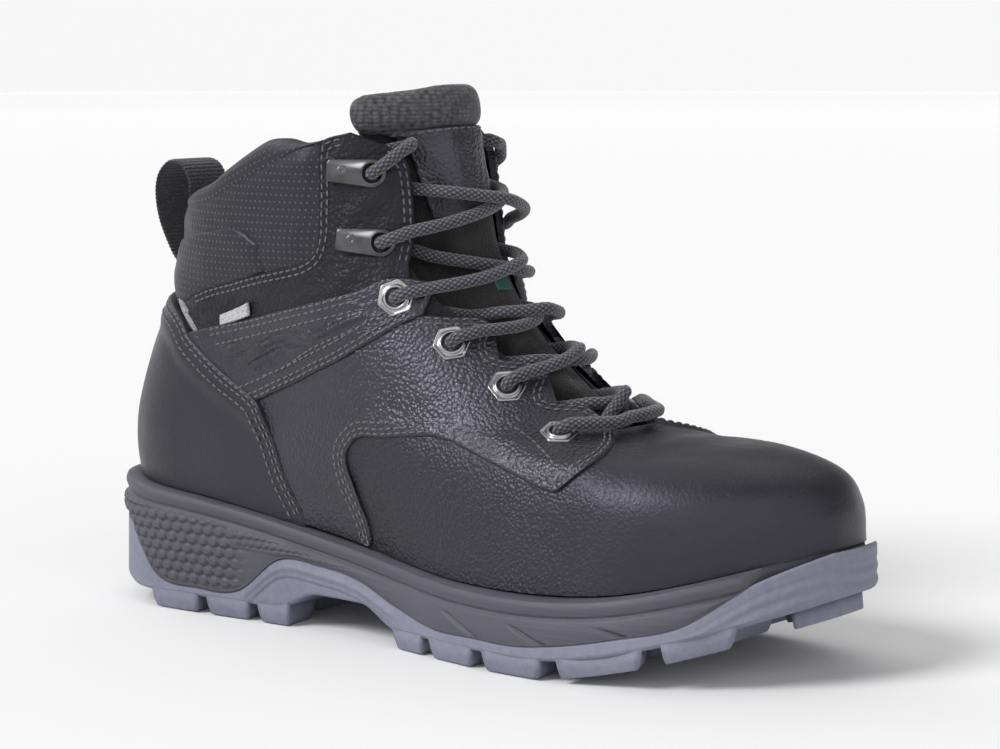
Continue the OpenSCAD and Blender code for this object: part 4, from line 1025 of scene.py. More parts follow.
# Mesh roll along the tongue's top, in millimetres, degrees and shares of v
TOP_HALF_ANGLE, TOP_V, TOP_DROP = 54.0, 0.9795, 0.004
TOP_HALF_T, TOP_HALF_V, TOP_SQUARENESS = 4.6, 0.0205, 0.75
# Millimetres of height for one unit of v above the surface's upper end
ABOVE_MM = 330.0


def squared(share):
    """A sine or cosine made fuller, so that a round section turns squarish."""
    return abs(share) ** TOP_SQUARENESS * math.copysign(1, share)


def tongue_roll():
    """The padded mesh roll, from side to side over the tongue's top edge."""
    angles = TOP_HALF_ANGLE * np.sin(np.linspace(-np.pi / 2, np.pi / 2, 170))
    outward_share = np.abs(angles) / TOP_HALF_ANGLE
    theta = np.linspace(0, 2 * np.pi, 48, endpoint=False)
    end_share = np.sqrt(np.clip(1 - outward_share ** 18, 0, 1)) * 0.97 + 0.03
    rows = []
    for t in theta:
        depth = tongue_out(angles, 0.98) - 2.0 + TOP_HALF_T * squared(math.cos(t)) * end_share
        v = TOP_V - TOP_DROP * outward_share ** 2 + TOP_HALF_V * squared(math.sin(t)) * end_share
        above = np.maximum(v - 1.0, 0)[:, None] * np.array([0, 0, ABOVE_MM])
        rows.append(skin(angles, np.clip(v, 0, 1), depth) + above)
    points = np.transpose(np.array(rows), (1, 0, 2))
    last = (len(angles) - 1) * len(theta)
    faces = grid_faces(len(angles), len(theta), wrap=True)
    faces += [list(range(len(theta))), [last + k for k in range(len(theta) - 1, -1, -1)]]
    run = lengths(points, 0)[0] / UV_MM
    uv = np.stack(np.broadcast_arrays(run, (theta / (2 * np.pi))[None] * 0.4), -1)
    return mesh_object("tongue_top", points.reshape(-1, 3), faces, uv.reshape(-1, 2))


top_roll = place(tongue_roll(), "tongue", "tongue_mesh", mesh_cloth, "tongue_top")
puffed(top_roll)

place(panel("tongue_label", [[9, 0.757], [9, 0.785]], [[-4, 0.757], [-4, 0.785]], 30, 30, over_tongue(0.6),
            over_tongue(0.1), 0.3),
      "tongue", "label_fabric", label_cloth, "tongue_label")


# ---------------------------------------------------------------- lace

HOLES_OUTER = spots((57, 78), (34, 92), (13, 106), (-7, 121), (-14, 140), (-18, 164))
HOLES_INNER = spots((53, 81), (30, 95), (10, 109), (-9, 123.5), (-15, 142), (-18, 165))
LACE_UNDER, LACE_OVER = -7.4, 4.9


def hole_at(k, hand):
    """Ring coordinates of hole k from the toe, on the side of hand."""
    a, v = (HOLES_OUTER if hand > 0 else HOLES_INNER)[k]
    return hand * a, v


def rise(k, hand):
    """The lace coming out through hole k."""
    a, v = hole_at(k, hand)
    return [[a * 0.97, v, LACE_UNDER], [a, v, -4.2], [a, v, 0], [a, v, 3]]


def crossing(k, hand, high):
    """The lace from hole k over the tongue and under the facing's edge to the next hole across."""
    (a, v), (far_a, far_v) = hole_at(k, hand), hole_at(k + 1, -hand)
    step = far_v - v
    near, far = hand * opening_angle(v + 0.25 * step), -hand * opening_angle(v + 0.75 * step)
    up = 2.4 if k == 4 else 0
    return [[a * 0.93, v + 0.06 * step, LACE_OVER + 0.1],
            [a * 0.45 + near * 0.5, v + 0.17 * step, LACE_OVER - 0.1],
            [near * 0.62, v + 0.32 * step, up + (5.4 if high else 2.4)],
            [0, v + 0.5 * step, 6 + 0.8 * up if high else 0.6 + up],
            [far * 0.62, v + 0.68 * step, up + (1.2 if high else -1.6)],
            [far, v + 0.82 * step, -6], [far_a * 0.8, v + 0.93 * step, LACE_UNDER]]


def low_crossing(hand, high):
    """The first crossing, which starts under the quarters."""
    (a, v), (far_a, far_v) = hole_at(0, hand), hole_at(1, -hand)
    step = far_v - v
    near, far = hand * opening_angle(v + 0.3 * step), -hand * opening_angle(v + 0.75 * step)
    return [[a * 0.9, v + 0.1 * step, LACE_UNDER], [near * 0.95, v + 0.32 * step, -7],
            [near * 0.5, v + 0.46 * step, 0 if high else -1.2], [0, v + 0.56 * step, 6 if high else 0.6],
            [far * 0.55, v + 0.68 * step, 1.6 if high else -1.4], [far, v + 0.82 * step, -6],
            [far_a * 0.8, v + 0.92 * step, LACE_UNDER]]


def lace_half(hand):
    """Half of the lace: from the middle of the lowest bar to the place where its free end begins."""
    (a, v), (top_a, top_v) = hole_at(0, hand), hole_at(5, -hand)
    run = [[a * 0.55, v + 0.004, 4.2], [a * 0.92, v, 4.4], [a, v, 2.6], [a, v, -1], [a, v, -5.2]]
    run += low_crossing(hand, hand > 0)
    for k in range(1, 5):
        side = -hand if k % 2 else hand
        run += rise(k, side) + crossing(k, side, (side > 0) == (k % 2 == 1))
    return run + rise(5, -hand) + [
        [top_a * 0.93, top_v + 0.006, 5], [-hand * 39, top_v + 0.018, 4], [-hand * 34.5, 0.942, 1.8],
        [-hand * 33, 0.945, -0.6], [-hand * 33, 0.945, -2.4]]


def with_midpoints(run):
    """The run with a point halfway between each two, as the part's lace has them."""
    return [p for i, point in enumerate(run) for p in
            ([[(run[i - 1][j] + point[j]) / 2 for j in range(3)]] if i else []) + [point]]


run = lace_half(-1)[::-1] + [[-12, 0.492, 4.6], [0, 0.492, 4.8], [12, 0.487, 4.6]] + lace_half(1)
run = np.array(with_midpoints(run), float)
path = resample(dense(skin(run[:, 0], run[:, 1], run[:, 2]), 5200), LACE_STEP)
place(braided("lace", path), "upper", "lace_cord", lace_cord, "lace")


# ---------------------------------------------------------------- eyelets and lace loops

def frame_at(hand, spot):
    """Axes at a place of the surface: x towards the toe, y across, z out of the leather."""
    a, v = np.array([hand * spot[0]]), np.array([spot[1]])
    pa, pv = partials(a, v)
    out = unit(np.cross(pv, pa))[0]
    forward = np.array([1.0, 0.0, 0.0])
    forward = unit(forward - out * (forward @ out))
    across = np.cross(out, forward)
    return skin(a, v, 0.0)[0], forward, across, out


def hoop_faces(rows, columns):
    """Quads of a grid of points that closes on itself both ways."""
    return [[i * columns + j, i * columns + (j + 1) % columns, (i + 1) % rows * columns + (j + 1) % columns,
             (i + 1) % rows * columns + j] for i in range(rows) for j in range(columns)]


def turned_solid(profile, sides, shape=None):
    """Closed ring turned round z from (radius, height, share of the shape) rows. shape is a function
    that scales the radius by angle."""
    angle = np.linspace(0, 2 * np.pi, sides, endpoint=False)
    rows = []
    for r, z, share in profile:
        scale = 1 + share * (shape(angle) - 1) if shape else 1.0
        rows.append(np.stack([r * scale * np.cos(angle), r * scale * np.sin(angle), np.full(sides, z)], -1))
    return np.array(rows), hoop_faces(len(profile), sides)


def hexagon(angle):
    """Distance to the flats of a hexagon with slightly rounded corners, over its flats' half width."""
    turn = (angle + math.pi / 6) % (math.pi / 3) - math.pi / 6
    return np.minimum(1 / np.cos(turn), 1.115)


# Rows of radius, height and share of the hexagon
EYELET_PROFILE = [
    (3.2, -3.7, 0), (3.2, 1.2, 0), (3.35, 1.75, 0), (3.75, 2.1, 0), (4.15, 2.05, 0), (4.4, 1.7, 0),
    (4.5, 1.25, 0.25), (4.75, 1.12, 0.6), (5.1, 1.22, 1), (5.45, 1.42, 1), (5.7, 1.42, 1), (5.9, 1.25, 1),
    (6.0, 0.95, 1), (5.98, 0.6, 1), (5.4, 0.45, 0.6), (3.9, 0.4, 0), (3.8, 0.0, 0), (3.8, -3.7, 0)]
# How far each eyelet is lifted over the surface, from the toe
EYELET_LIFTS = (0.35, 0.35, 0.35, 1.55)
RIVET_PROFILE = [(0.05, 2.75, 0), (1.2, 2.72, 0), (1.8, 2.62, 0), (2.05, 2.4, 0), (2.05, 1.0, 0),
                 (0.05, 1.0, 0)]
RIVET_X = -10.5
# Lace loop: its outline's front radius, tail length, half width and tail corners, then its rings as
# (outline growth, height), and its hole's as (radius, height)
LOOP_FRONT, LOOP_TAIL, LOOP_HALF, LOOP_CORNER = 5.0, 16.0, 4.0, 1.6
LOOP_BODY = [(-0.15, 0.5), (0.0, 0.8), (0.0, 2.0), (-0.25, 2.35), (-0.6, 2.5)]
LOOP_HOLE = [(4.35, 2.5), (4.2, 2.85), (3.8, 3.0), (3.45, 2.85), (3.2, 2.4), (3.2, -3.7), (3.8, -3.7),
             (3.8, 0.5)]


def set_on(grid, spot, hand, lift=0.0):
    """The points of a small solid, moved to a place of the surface."""
    origin, forward, across, out = frame_at(hand, spot)
    origin = origin + out * lift
    g = grid.reshape(-1, 3)
    return origin + g[:, :1] * forward + g[:, 1:2] * across + g[:, 2:] * out


def combined(name, solids):
    """One piece of several closed solids, given as (points, faces)."""
    points, faces, base = [], [], 0
    for p, f in solids:
        points.append(p)
        faces += [[base + k for k in face] for face in f]
        base += len(p)
    obj = mesh_object(name, np.concatenate(points), faces)
    return outward(obj)


def loop_outline(grow, count=72):
    """Plan of a cast lace loop: round at the front, a narrower square tail behind."""
    front, tail, half = LOOP_FRONT + grow, LOOP_TAIL + grow, LOOP_HALF + grow
    angle = np.linspace(-math.pi / 2, math.pi / 2, count // 2)
    nose = front * np.stack([np.cos(angle), np.sin(angle)], -1)
    turn = np.linspace(0, math.pi / 2, 7)
    x, y = LOOP_CORNER - tail, half - LOOP_CORNER
    top = np.stack([x - LOOP_CORNER * np.sin(turn), y + LOOP_CORNER * np.cos(turn)], -1)
    bottom = np.stack([x - LOOP_CORNER * np.cos(turn), -y - LOOP_CORNER * np.sin(turn)], -1)
    side = np.linspace(0, 1, 9)[1:-1, None]
    upper = nose[-1] + (top[0] - nose[-1]) * side
    lower = bottom[-1] + (nose[0] - bottom[-1]) * side
    return np.concatenate([nose, upper, top, bottom, lower])


def loop_solid():
    """A bevelled plate with a round hole for the lace and a raised ring about it."""
    outside = loop_outline(0.0)
    angles = np.arctan2(outside[:, 1], np.where(outside[:, 0] > 0, outside[:, 0], outside[:, 0] * 0.55))
    hole = np.stack([np.cos(angles), np.sin(angles)], -1)
    plan = [(loop_outline(grow), z) for grow, z in LOOP_BODY] + [(hole * r, z) for r, z in LOOP_HOLE]
    rows = [np.concatenate([flat, np.full((len(outside), 1), z)], -1) for flat, z in plan]
    return np.array(rows), hoop_faces(len(rows), len(outside))


eyelet, eyelet_faces = turned_solid(EYELET_PROFILE, 96, hexagon)
loop, loop_faces = loop_solid()
rivet, rivet_faces = turned_solid(RIVET_PROFILE, 32)
rivet = rivet + np.array([RIVET_X, 0, 0])
for side_name, hand in SIDES:
    holes = HOLES_OUTER if hand > 0 else HOLES_INNER
    eyelets = [(set_on(eyelet, spot, hand, lift), eyelet_faces)
               for spot, lift in zip(holes[:4], EYELET_LIFTS)]
    loops = [(set_on(loop, spot, hand), loop_faces) for spot in holes[4:]]
    rivets = [(set_on(rivet, spot, hand), rivet_faces) for spot in holes[4:]]
    place(combined("eyelets_" + side_name, eyelets), "upper", "nickel", nickel, "eyelets_" + side_name)
    place(combined("lace_loops_" + side_name, loops), "upper", "gunmetal", gunmetal,
          "lace_loops_" + side_name)
    place(combined("loop_rivets_" + side_name, rivets), "upper", "gunmetal", gunmetal)


# ---------------------------------------------------------------- heel loop, tag and wedge

# The webbing's middle line in x and z
LOOP_PATH = [[-128.4, 123], [-127.5, 130], [-126.1, 140], [-125.2, 150], [-125.4, 157], [-129.2, 163],
             [-135.6, 164], [-141, 159], [-142.4, 151], [-140.2, 141], [-134.4, 130], [-129.5, 124.6]]
# Webbing: thickness and width, then the pitch and height of its ribs
WEB_T, WEB_W, RIB_PITCH, RIB_H = 1.5, 22.0, 1.5, 0.11


def webbing_loop():
    """Ribbed webbing along LOOP_PATH, in the middle plane."""
    line = dense(LOOP_PATH, 420)
    tangent = unit(np.gradient(line, axis=0))
    normal = np.stack([-tangent[:, 1], tangent[:, 0]], -1)
    run = running(line)
    across = np.linspace(-1, 1, 56)
    wave = np.sin(2 * np.pi * run / RIB_PITCH)[:, None]
    edge_share = np.sqrt(np.clip(1 - np.abs(across) ** 14, 0, 1))[None]
    offset = (WEB_T / 2 - 0.12) * edge_share + 0.02
    width = (WEB_W / 2 - 0.1 + 0.12 * wave) * across[None]
    faces = []
    for face_sign in (1, -1):
        depth = face_sign * (offset + RIB_H * wave * edge_share)
        x, z = (line[:, k:k + 1] + normal[:, k:k + 1] * depth for k in (0, 1))
        faces.append(np.stack([x, width, z], -1))
    uv = np.stack([np.broadcast_to(run[:, None], width.shape), width], -1).reshape(-1, 2) / UV_MM
    return shell("pull_loop", *faces, uv)


def tag_detail(base, distance, from_low, from_high):
    return 0.05 * np.sin(5 * from_low)


place(webbing_loop(), "pull_loop", "webbing", webbing_cloth, "pull_loop")

TAG_LOW, TAG_HIGH = spots((-86, 107), (-79, 109), (-70, 112)), spots((-86, 111), (-79, 113.5), (-70, 117))
place(panel("side_tag", TAG_LOW, TAG_HIGH, 70, 24, BAND_H + 1.05, BAND_H - 0.3, 0.35, "lhse", tag_detail),
      "upper", "tag_fabric", tag_cloth, "side_tag")
PIPING_LOW = spots((-115, 113.5), (-107, 107.5), (-98, 101))
PIPING_HIGH = spots((-114, 115.5), (-105, 109.5), (-97, 102.5))
for side_name, hand in SIDES:
    place(panel("heel_piping_" + side_name, PIPING_LOW, PIPING_HIGH, 90, 12, 1.7, 0.3, 0.9, hand=hand),
          "upper", "piping", piping_cloth, "heel_piping_" + side_name)


# ---------------------------------------------------------------- sole

SOLE_HEEL_X, SOLE_TOE_X = -155.0, 154.0
SOLE_LATERAL = [38, 41, 41, 40, 41, 46, 53, 57, 56, 52, 46]
SOLE_MEDIAL = [38, 40, 38, 34, 34, 40, 49, 54, 54, 52, 48]
SOLE_TOE_ROUND, SOLE_HEEL_ROUND = 72.0, 42.0
LUG_DEPTH = 6.0
WRAP_Z = [33, 31, 12, 9.5, 10.5, 24, 24, 21.5, 15, 10.5, 10.5, 10.5, 13, 17, 22, 36, 46]
WRAP_T, WEB_THICK = 4.0, 4.0


def outline(a):
    """Point of the sole's outline in plan at ring angle a."""
    a = np.asarray(a, float)
    t = (1 + np.cos(np.radians(a))) / 2
    x = SOLE_HEEL_X + (SOLE_TOE_X - SOLE_HEEL_X) * t
    side = np.where(np.sin(np.radians(a)) > 0, -1.0, 1.0)
    w = np.where(side < 0, cr(SOLE_LATERAL, t), cr(SOLE_MEDIAL, t))
    w = w * round_off(x - SOLE_HEEL_X, SOLE_HEEL_ROUND) * round_off(SOLE_TOE_X - x, SOLE_TOE_ROUND)
    return np.stack([x, bend(x) + side * w], -1)


def inset(a, amount):
    """Point of the outline moved inwards by amount."""
    d = outline(a + 1) - outline(a - 1)
    n = unit(np.stack([d[..., 1], -d[..., 0]], -1))
    return outline(a) + np.asarray(amount)[..., None] * n


def sole_angle(x):
    """Ring angle of the outline's outer side at x."""
    return math.degrees(math.acos(min(max(2 * (x - SOLE_HEEL_X) / (SOLE_TOE_X - SOLE_HEEL_X) - 1, -1), 1)))


def ground_z(x):
    """Height of the tread's ground line: it curls up at the toe and at the heel."""
    return (24 * (np.maximum(x - 62, 0) / (SOLE_TOE_X - 62)) ** 1.5
            + 6 * (np.maximum(-128 - x, 0) / (-128 - SOLE_HEEL_X)) ** 1.5)


def web_z(x):
    """Height of the rubber between the lugs, with the arch's rise."""
    return ground_z(x) + LUG_DEPTH + 7 * smooth(1.6 * (1 - np.abs(x + 30) / 30))


def top_z(x):
    """Height of the midsole's top, just under the feather line."""
    t = np.clip((x - HEEL_LINE[0][0]) / (RIDGE_LINE[0][0] - HEEL_LINE[0][0]), 0, 1)
    return HEEL_LINE[0][1] + (RIDGE_LINE[0][1] - HEEL_LINE[0][1]) * t + cr(RING_SAG, t) - 0.6


def wrap_top(x):
    """Height of the outsole's upper edge."""
    return np.minimum(cr(WRAP_Z, (x - SOLE_HEEL_X) / (SOLE_TOE_X - SOLE_HEEL_X)), top_z(x))


def inner_z(x):
    """Height of the outsole's inner floor."""
    return web_z(x) + WEB_THICK


def show_z(x):
    """Height from which the midsole's wall shows."""
    return np.minimum(wrap_top(x) + 0.15, top_z(x) - 0.6)


def shown(x):
    """1 where the midsole's wall shows above the outsole, 0 where it is wrapped."""
    return smooth((top_z(x) - wrap_top(x) - 2) / 4)


SOLE_COLUMNS = 1300
ring_angles = np.linspace(0, 360, SOLE_COLUMNS, endpoint=False)
edge_x = outline(ring_angles)[:, 0]
edge_run = running(outline(ring_angles))


def sole_ring(amount, height):
    """A closed ring inset by amount, at height, both arrays over the ring's angles or numbers."""
    p = inset(ring_angles, np.broadcast_to(np.asarray(amount, float), ring_angles.shape))
    z = height(p[:, 0]) if callable(height) else np.broadcast_to(height, ring_angles.shape)
    return np.concatenate([p, z[:, None]], -1)


def closed_rings(name, rings_list):
    """Closed solid through rings of points, with a strip of quads across each end."""
    grid = np.array(rings_list)
    rows, columns = grid.shape[:2]
    faces = grid_faces(rows, columns, wrap=True)
    for base, up in ((0, False), ((rows - 1) * columns, True)):
        for i in range(columns // 2):
            strip = [base + k % columns for k in (i, i + 1, columns - i - 1, columns - i)]
            strip = list(dict.fromkeys(strip))
            if len(strip) > 2:
                faces.append(strip if up else strip[::-1])
    return mesh_object(name, grid.reshape(-1, 3), faces)


def scales(run, z, pitch_x, pitch_z, relief):
    """Rounded hexagonal scales in staggered rows."""
    row = np.floor(z / pitch_z)
    u = (run / pitch_x + 0.5 * (row % 2)) % 1 - 0.5
    w = (z / pitch_z) % 1 - 0.5
    away = np.maximum(np.abs(w) * 1.05, np.abs(u) * 0.93 + np.abs(w) * 0.42)
    return relief * smooth((0.50 - away) / 0.15)


# Starts of the three slashes in the midsole's outer wall, and the sizes of the scales:
# pitch along, pitch up and relief
SLASH_X = (20.0, 49.0, 78.0)
HEEL_SCALES, ARCH_SCALES = (5.0, 3.7, 1.2), (3.3, 2.5, 0.75)


def groove(distance, centre, width):
    """A rounded rise of height 1 about centre."""
    return np.exp(-((distance - centre) / width) ** 2)


def midsole_wall(side_amount):
    """Rings of the midsole's wall, from the outsole's edge up to the feather line."""
    low, top = show_z(edge_x) + 0.05, top_z(edge_x)
    rows = []
    for s in np.linspace(0, 1, 64)[1:]:
        z = low + (top - low) * s
        above, below = z - low, top - z
        # A rolled lip along the top, a shallow groove below it, then the swelling wall.
        lip = 0.9 * groove(below, 2.6, 1.9) - 0.75 * groove(below, 6.2, 0.7)
        swell = 0.7 * np.sin(np.pi * np.clip((below - 6.5) / np.maximum(top - low - 6.5, 1), 0, 1))
        under_lip = smooth((below - 7.2) / 1.2)
        heel_zone = smooth((-70 - edge_x) / 14) * under_lip * smooth((above - 0.8) / 1.2)
        arch_zone = (smooth((edge_x + 82) / 6) * smooth((-8 - edge_x) / 34) * under_lip
                     * smooth((15.0 - 0.09 * (edge_x + 80) - below) / 1.2) * smooth((above - 0.6) / 1.0))
        slashes = sum(groove(edge_x + above * 1.9, start + 20, 1.5) for start in SLASH_X)
        flare = (lip + swell + scales(edge_run, z, *HEEL_SCALES) * heel_zone
                 + scales(edge_run, z, *ARCH_SCALES) * arch_zone
                 - 1.3 * slashes * smooth((below - 8.5) / 2.5) * shown(edge_x))
        roof = (np.maximum(side_amount, 3.0) - side_amount - 0.4) * smooth((1.3 - below) / 1.3) ** 3
        amount = side_amount + 0.4 - flare * shown(edge_x) + roof
        rows.append(sole_ring(np.maximum(amount, -1.6), lambda x, z=z: z))
    return rows


side_amount = WRAP_T + 0.3 + (0.2 - WRAP_T - 0.3) * shown(edge_x)
midsole_rings = [
    sole_ring(WRAP_T + 4, lambda x: inner_z(x) + 0.15), sole_ring(WRAP_T + 0.4, lambda x: inner_z(x) + 0.15),
    sole_ring(WRAP_T + 0.4, show_z), sole_ring(side_amount, lambda x: show_z(x) + 0.05)]
midsole_rings += midsole_wall(side_amount)
midsole_rings += [sole_ring(12.0, top_z), sole_ring(12.3, lambda x: top_z(x) - 1.9)]
place(closed_rings("midsole", midsole_rings), "upper", "midsole_foam", midsole_foam, "midsole")


def outsole_wall():
    """Rings of the outsole's wall: a bevelled edge, a shelf at the arch and slow waves at the toe."""
    lowest, top = web_z(edge_x) + 1.5, wrap_top(edge_x)
    bridge = smooth((edge_x + 78) / 5) * smooth((2 - edge_x) / 6)
    toe = smooth((edge_x - 108) / 8)
    rows = []
    for s in np.linspace(0, 1, 56):
        z = lowest + (top - lowest) * s
        below = top - z
        bevel = 0.55 * smooth((1.1 - below) / 1.1) ** 2
        shelf = bridge * (0.8 * smooth((below - 6.0) / 1.5) - 0.9 * groove(below, 3.2, 1.4))
        waves = 0.22 * toe * np.sin(below * 1.35 - 0.121 * (edge_x - 100)) * smooth((below - 3.0) / 2)
        rows.append(sole_ring(0.4 * s + bevel + shelf + waves, lambda x, z=z: z))
    return rows


outsole_rings = [sole_ring(6.0, web_z), sole_ring(2.0, web_z), sole_ring(0.8, lambda x: web_z(x) + 0.4)]
outsole_rings += outsole_wall() + [
    sole_ring(1.6, lambda x: wrap_top(x) + 0.05), sole_ring(WRAP_T - 0.4, wrap_top),
    sole_ring(WRAP_T, lambda x: wrap_top(x) - 0.3), sole_ring(WRAP_T + 0.1, inner_z)]
place(closed_rings("outsole", outsole_rings), "upper", "outsole_rubber", outsole_rubber, "outsole")

# Tread: each edge lug's ends along the sole and its reach inwards, then each middle lug's centre, length
# and width, then the corners of the lugs at the heel's and the toe's ends
EDGE_LUGS = [[-118, -98], [-91, -74], [-67, -55], [0, 12], [19, 37], [45, 67], [76, 103], [111, 129]]
LUG_EDGE = 1.4
EDGE_REACH = [20, 20, 17, 17, 20, 22, 20, 16]
MIDDLE_LUGS = [[-92, 16, 22], [-70, 12, 24], [10, 9, 24], [28, 12, 36], [53, 14, 40], [80, 14, 36],
               [106, 14, 26]]
HEEL_END = [[-147, -7], [-125, -9], [-125, 9], [-147, 7]]
TOE_END = [[137, -8], [149, 2], [149, 17], [137, 26]]


def lug(bottom, top, steps=9):
    """A lug between two four-cornered outlines with rounded ground edges and subdivided sides."""
    bottom, top = np.array(bottom, float), np.array(top, float)
    middle = bottom.mean(0)

    def outline_of(quad):
        line = []
        for k in range(4):
            for t in np.linspace(0, 1, steps, endpoint=False):
                line.append(quad[k] + (quad[(k + 1) % 4] - quad[k]) * t)
        return np.array(line)

    low, high = outline_of(bottom), outline_of(top)
    pulled = middle + (low - middle) * 0.9
    levels = [(middle + (low - middle) * 0.45, 0.0, 0), (pulled, 0.0, 0), (low * 0.7 + pulled * 0.3, 0.12, 0),
              (low, 0.55, 0), (low + (high - low) * 0.5, 3.0, 0), (high, 0.0, 1)]
    points = []
    for outline_points, lift, on_web in levels:
        base = (web_z(outline_points[:, 0]) + 1.2) if on_web else ground_z(outline_points[:, 0]) + lift
        points.append(np.concatenate([outline_points, base[:, None]], -1))
    count = len(low)
    grid = np.array(points)
    faces = grid_faces(len(levels), count, wrap=True)
    faces += [list(range(count - 1, -1, -1)), [(len(levels) - 1) * count + k for k in range(count)]]
    return grid.reshape(-1, 3), faces


def corner(x, hand, amount):
    """Point in plan, amount inside the sole's outline at x."""
    return inset(np.array([hand * sole_angle(x)]), np.array([float(amount)]))[0]


def edge_lug(x1, x2, hand, reach, g):
    """Outline of a lug at the sole's edge, grown by g, with its inner corners drawn together."""
    return [corner(x1 - g, hand, LUG_EDGE - g), corner(x2 + g, hand, LUG_EDGE - g),
            corner(x2 + g - 2, hand, reach + g), corner(x1 - g + 2, hand, reach + g)]


def middle_lug(x, length, width, g):
    """Outline of a square lug on the sole's middle line, grown by g."""
    x1, x2 = x - length / 2 - g, x + length / 2 + g
    y1, y2 = bend(x) - width / 2 - g, bend(x) + width / 2 + g
    return [[x1, y1], [x2, y1], [x2, y2], [x1, y2]]


lugs = [lug(edge_lug(x1, x2, hand, reach, 0), edge_lug(x1, x2, hand, reach, LUG_EDGE))
        for hand in (1, -1) for (x1, x2), reach in zip(EDGE_LUGS, EDGE_REACH)]
lugs += [lug(middle_lug(*row, 0), middle_lug(*row, 1.6)) for row in MIDDLE_LUGS]
for end in (HEEL_END, TOE_END):
    lugs.append(lug(end, [[p[0] - math.copysign(1, p[0]), p[1] * 1.05] for p in end]))
place(combined("outsole_lugs", lugs), "upper", "outsole_rubber", outsole_rubber)


# ---------------------------------------------------------------- footbed, gussets and toe lining

FOOTBED_INSET, FOOTBED_BASE, FOOTBED_T, FOOTBED_SIDES = 8.90, 1.9, 4.5, 420
footbed_angles = np.linspace(0, 360, FOOTBED_SIDES, endpoint=False)
FEATHER_X = np.linspace(HEEL_LINE[0][0], RIDGE_LINE[0][0], 200)
FEATHER_Z = ring(np.degrees(np.arccos(np.clip(2 * np.linspace(0, 1, 200) - 1, -1, 1))), 0.0)[:, 2]


def footbed_ring(amount, lift, share=1.0):
    """The feather line's ring moved inwards by amount, drawn in to its middle by share, and lifted."""
    p, d = ring(footbed_angles, 0.0), ring(footbed_angles + 1, 0.0) - ring(footbed_angles - 1, 0.0)
    p = p + amount * unit(np.stack([d[:, 1], -d[:, 0], np.zeros(FOOTBED_SIDES)], -1))
    middle = bend(p[:, 0])
    p[:, 1] = middle + (p[:, 1] - middle) * share
    p[:, 0] = p[:, 0] * (0.72 + 0.28 * share)
    p[:, 2] = np.interp(p[:, 0], FEATHER_X, FEATHER_Z) + lift
    return p


# (inset, lift) of the footbed's rings from its underside over its rim to its hollow
footbed_rows = [(2.0, 0.0), (0.5, 0.45), (0.0, 1.3), (0.0, 3.9), (0.4, 4.35), (1.3, FOOTBED_T), (3.0, 4.3),
                (4.6, 4.05), (5.2, 3.75), (5.8, 4.0), (8.0, 3.8), (10.6, 3.6)]
footbed_rings = [footbed_ring(12.0, FOOTBED_BASE + 0.1, 0.4)]
footbed_rings += [footbed_ring(FOOTBED_INSET + amount, FOOTBED_BASE + lift) for amount, lift in footbed_rows]
footbed_rings += [footbed_ring(FOOTBED_INSET + 10.6, FOOTBED_BASE + 3.6 - 0.25 * (1 - share), share)
                  for share in (0.9, 0.75, 0.6, 0.45, 0.3, 0.15, 0.03)]
footbed = place(closed_rings("footbed", footbed_rings), "footbed", "footbed_foam", footbed_cloth, "footbed")

# Folded cloth between the tongue's edge and the facing
GUSSET_LOW = [[33, 0.53], [36, 0.6], [38, 0.66], [43, 0.72], [49, 0.77]]
GUSSET_HIGH = [[24, 0.53], [27, 0.6], [29, 0.66], [34, 0.72], [41, 0.77]]


def gusset_detail(base, distance, from_low, from_high):
    return 0.2 * np.sin(base[..., 2] * 0.9) * smooth(distance / 3)


for side_name, hand in SIDES:
    place(panel("gusset_" + side_name, GUSSET_LOW, GUSSET_HIGH, 90, 24, over_tongue(-TONGUE_T - 0.5),
                over_tongue(-TONGUE_T - 1.3), 0.3, "lhse", gusset_detail, hand),
          "tongue", "lining_fabric", lining_cloth, "gusset_" + side_name)

TOE_LINING_TOP, TOE_LINING_BOTTOM = 5.85, 7.05
TOE_LOW = [foot(-12), foot(4), foot(36), foot(75), foot(110), foot(137), [0, 0]]
TOE_HIGH = spots((-12, 37), (-19, 60), (10, 74), (43, 64.5), (64, 62), (66, 76)) + [[0, 0.48]]
place(panel("vamp_lining", over_ridge(TOE_LOW), over_ridge(TOE_HIGH), 200, 40, -TOE_LINING_TOP,
            -TOE_LINING_BOTTOM, 0.4, "h"),
      "upper", "lining_fabric", lining_cloth, "vamp_lining")


# ---------------------------------------------------------------- pieces kept from the CAD

# Hard parts and hidden layers that keep their CAD solids, with their materials
KEPT = {
    "shank": steel, "toe_cap": steel, "insole_board": fibre_board, "counter_stiffener": fibre_board,
    "toe_cap_edge_pad": foam, "eyestay_backing_outer": lining_cloth,
    "eyestay_backing_inner": lining_cloth, "eyelet_washers_outer": nickel, "eyelet_washers_inner": nickel,
    "loop_washers_outer": gunmetal, "loop_washers_inner": gunmetal,
}
for node_name, finish in KEPT.items():
    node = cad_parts[node_name]
    node.data.materials.clear()
    node.data.materials.append(finish)


# ---------------------------------------------------------------- floor and light

STAGE_RADIUS, STAGE_SIDES, BACKDROP_TOP, BACKDROP_LIGHT, WORLD_LIGHT = 9.0, 96, 1.6, 0.92, 0.21
FLOOR_Z, FLOOR_RINGS = -0.0003, (0.5, 1.0, 2.0, 4.0, 6.0, STAGE_RADIUS)
FLOOR_DARK, FLOOR_PALE, FLOOR_FAR_SHADE = (0.822,) * 3, (0.83,) * 3, (0.755,) * 3

floor_material, floor_shader = material("floor", (0.81, 0.81, 0.81), 0.6)
floor_shader.inputs["Specular IOR Level"].default_value = 0.0
n = Nodes(floor_material)
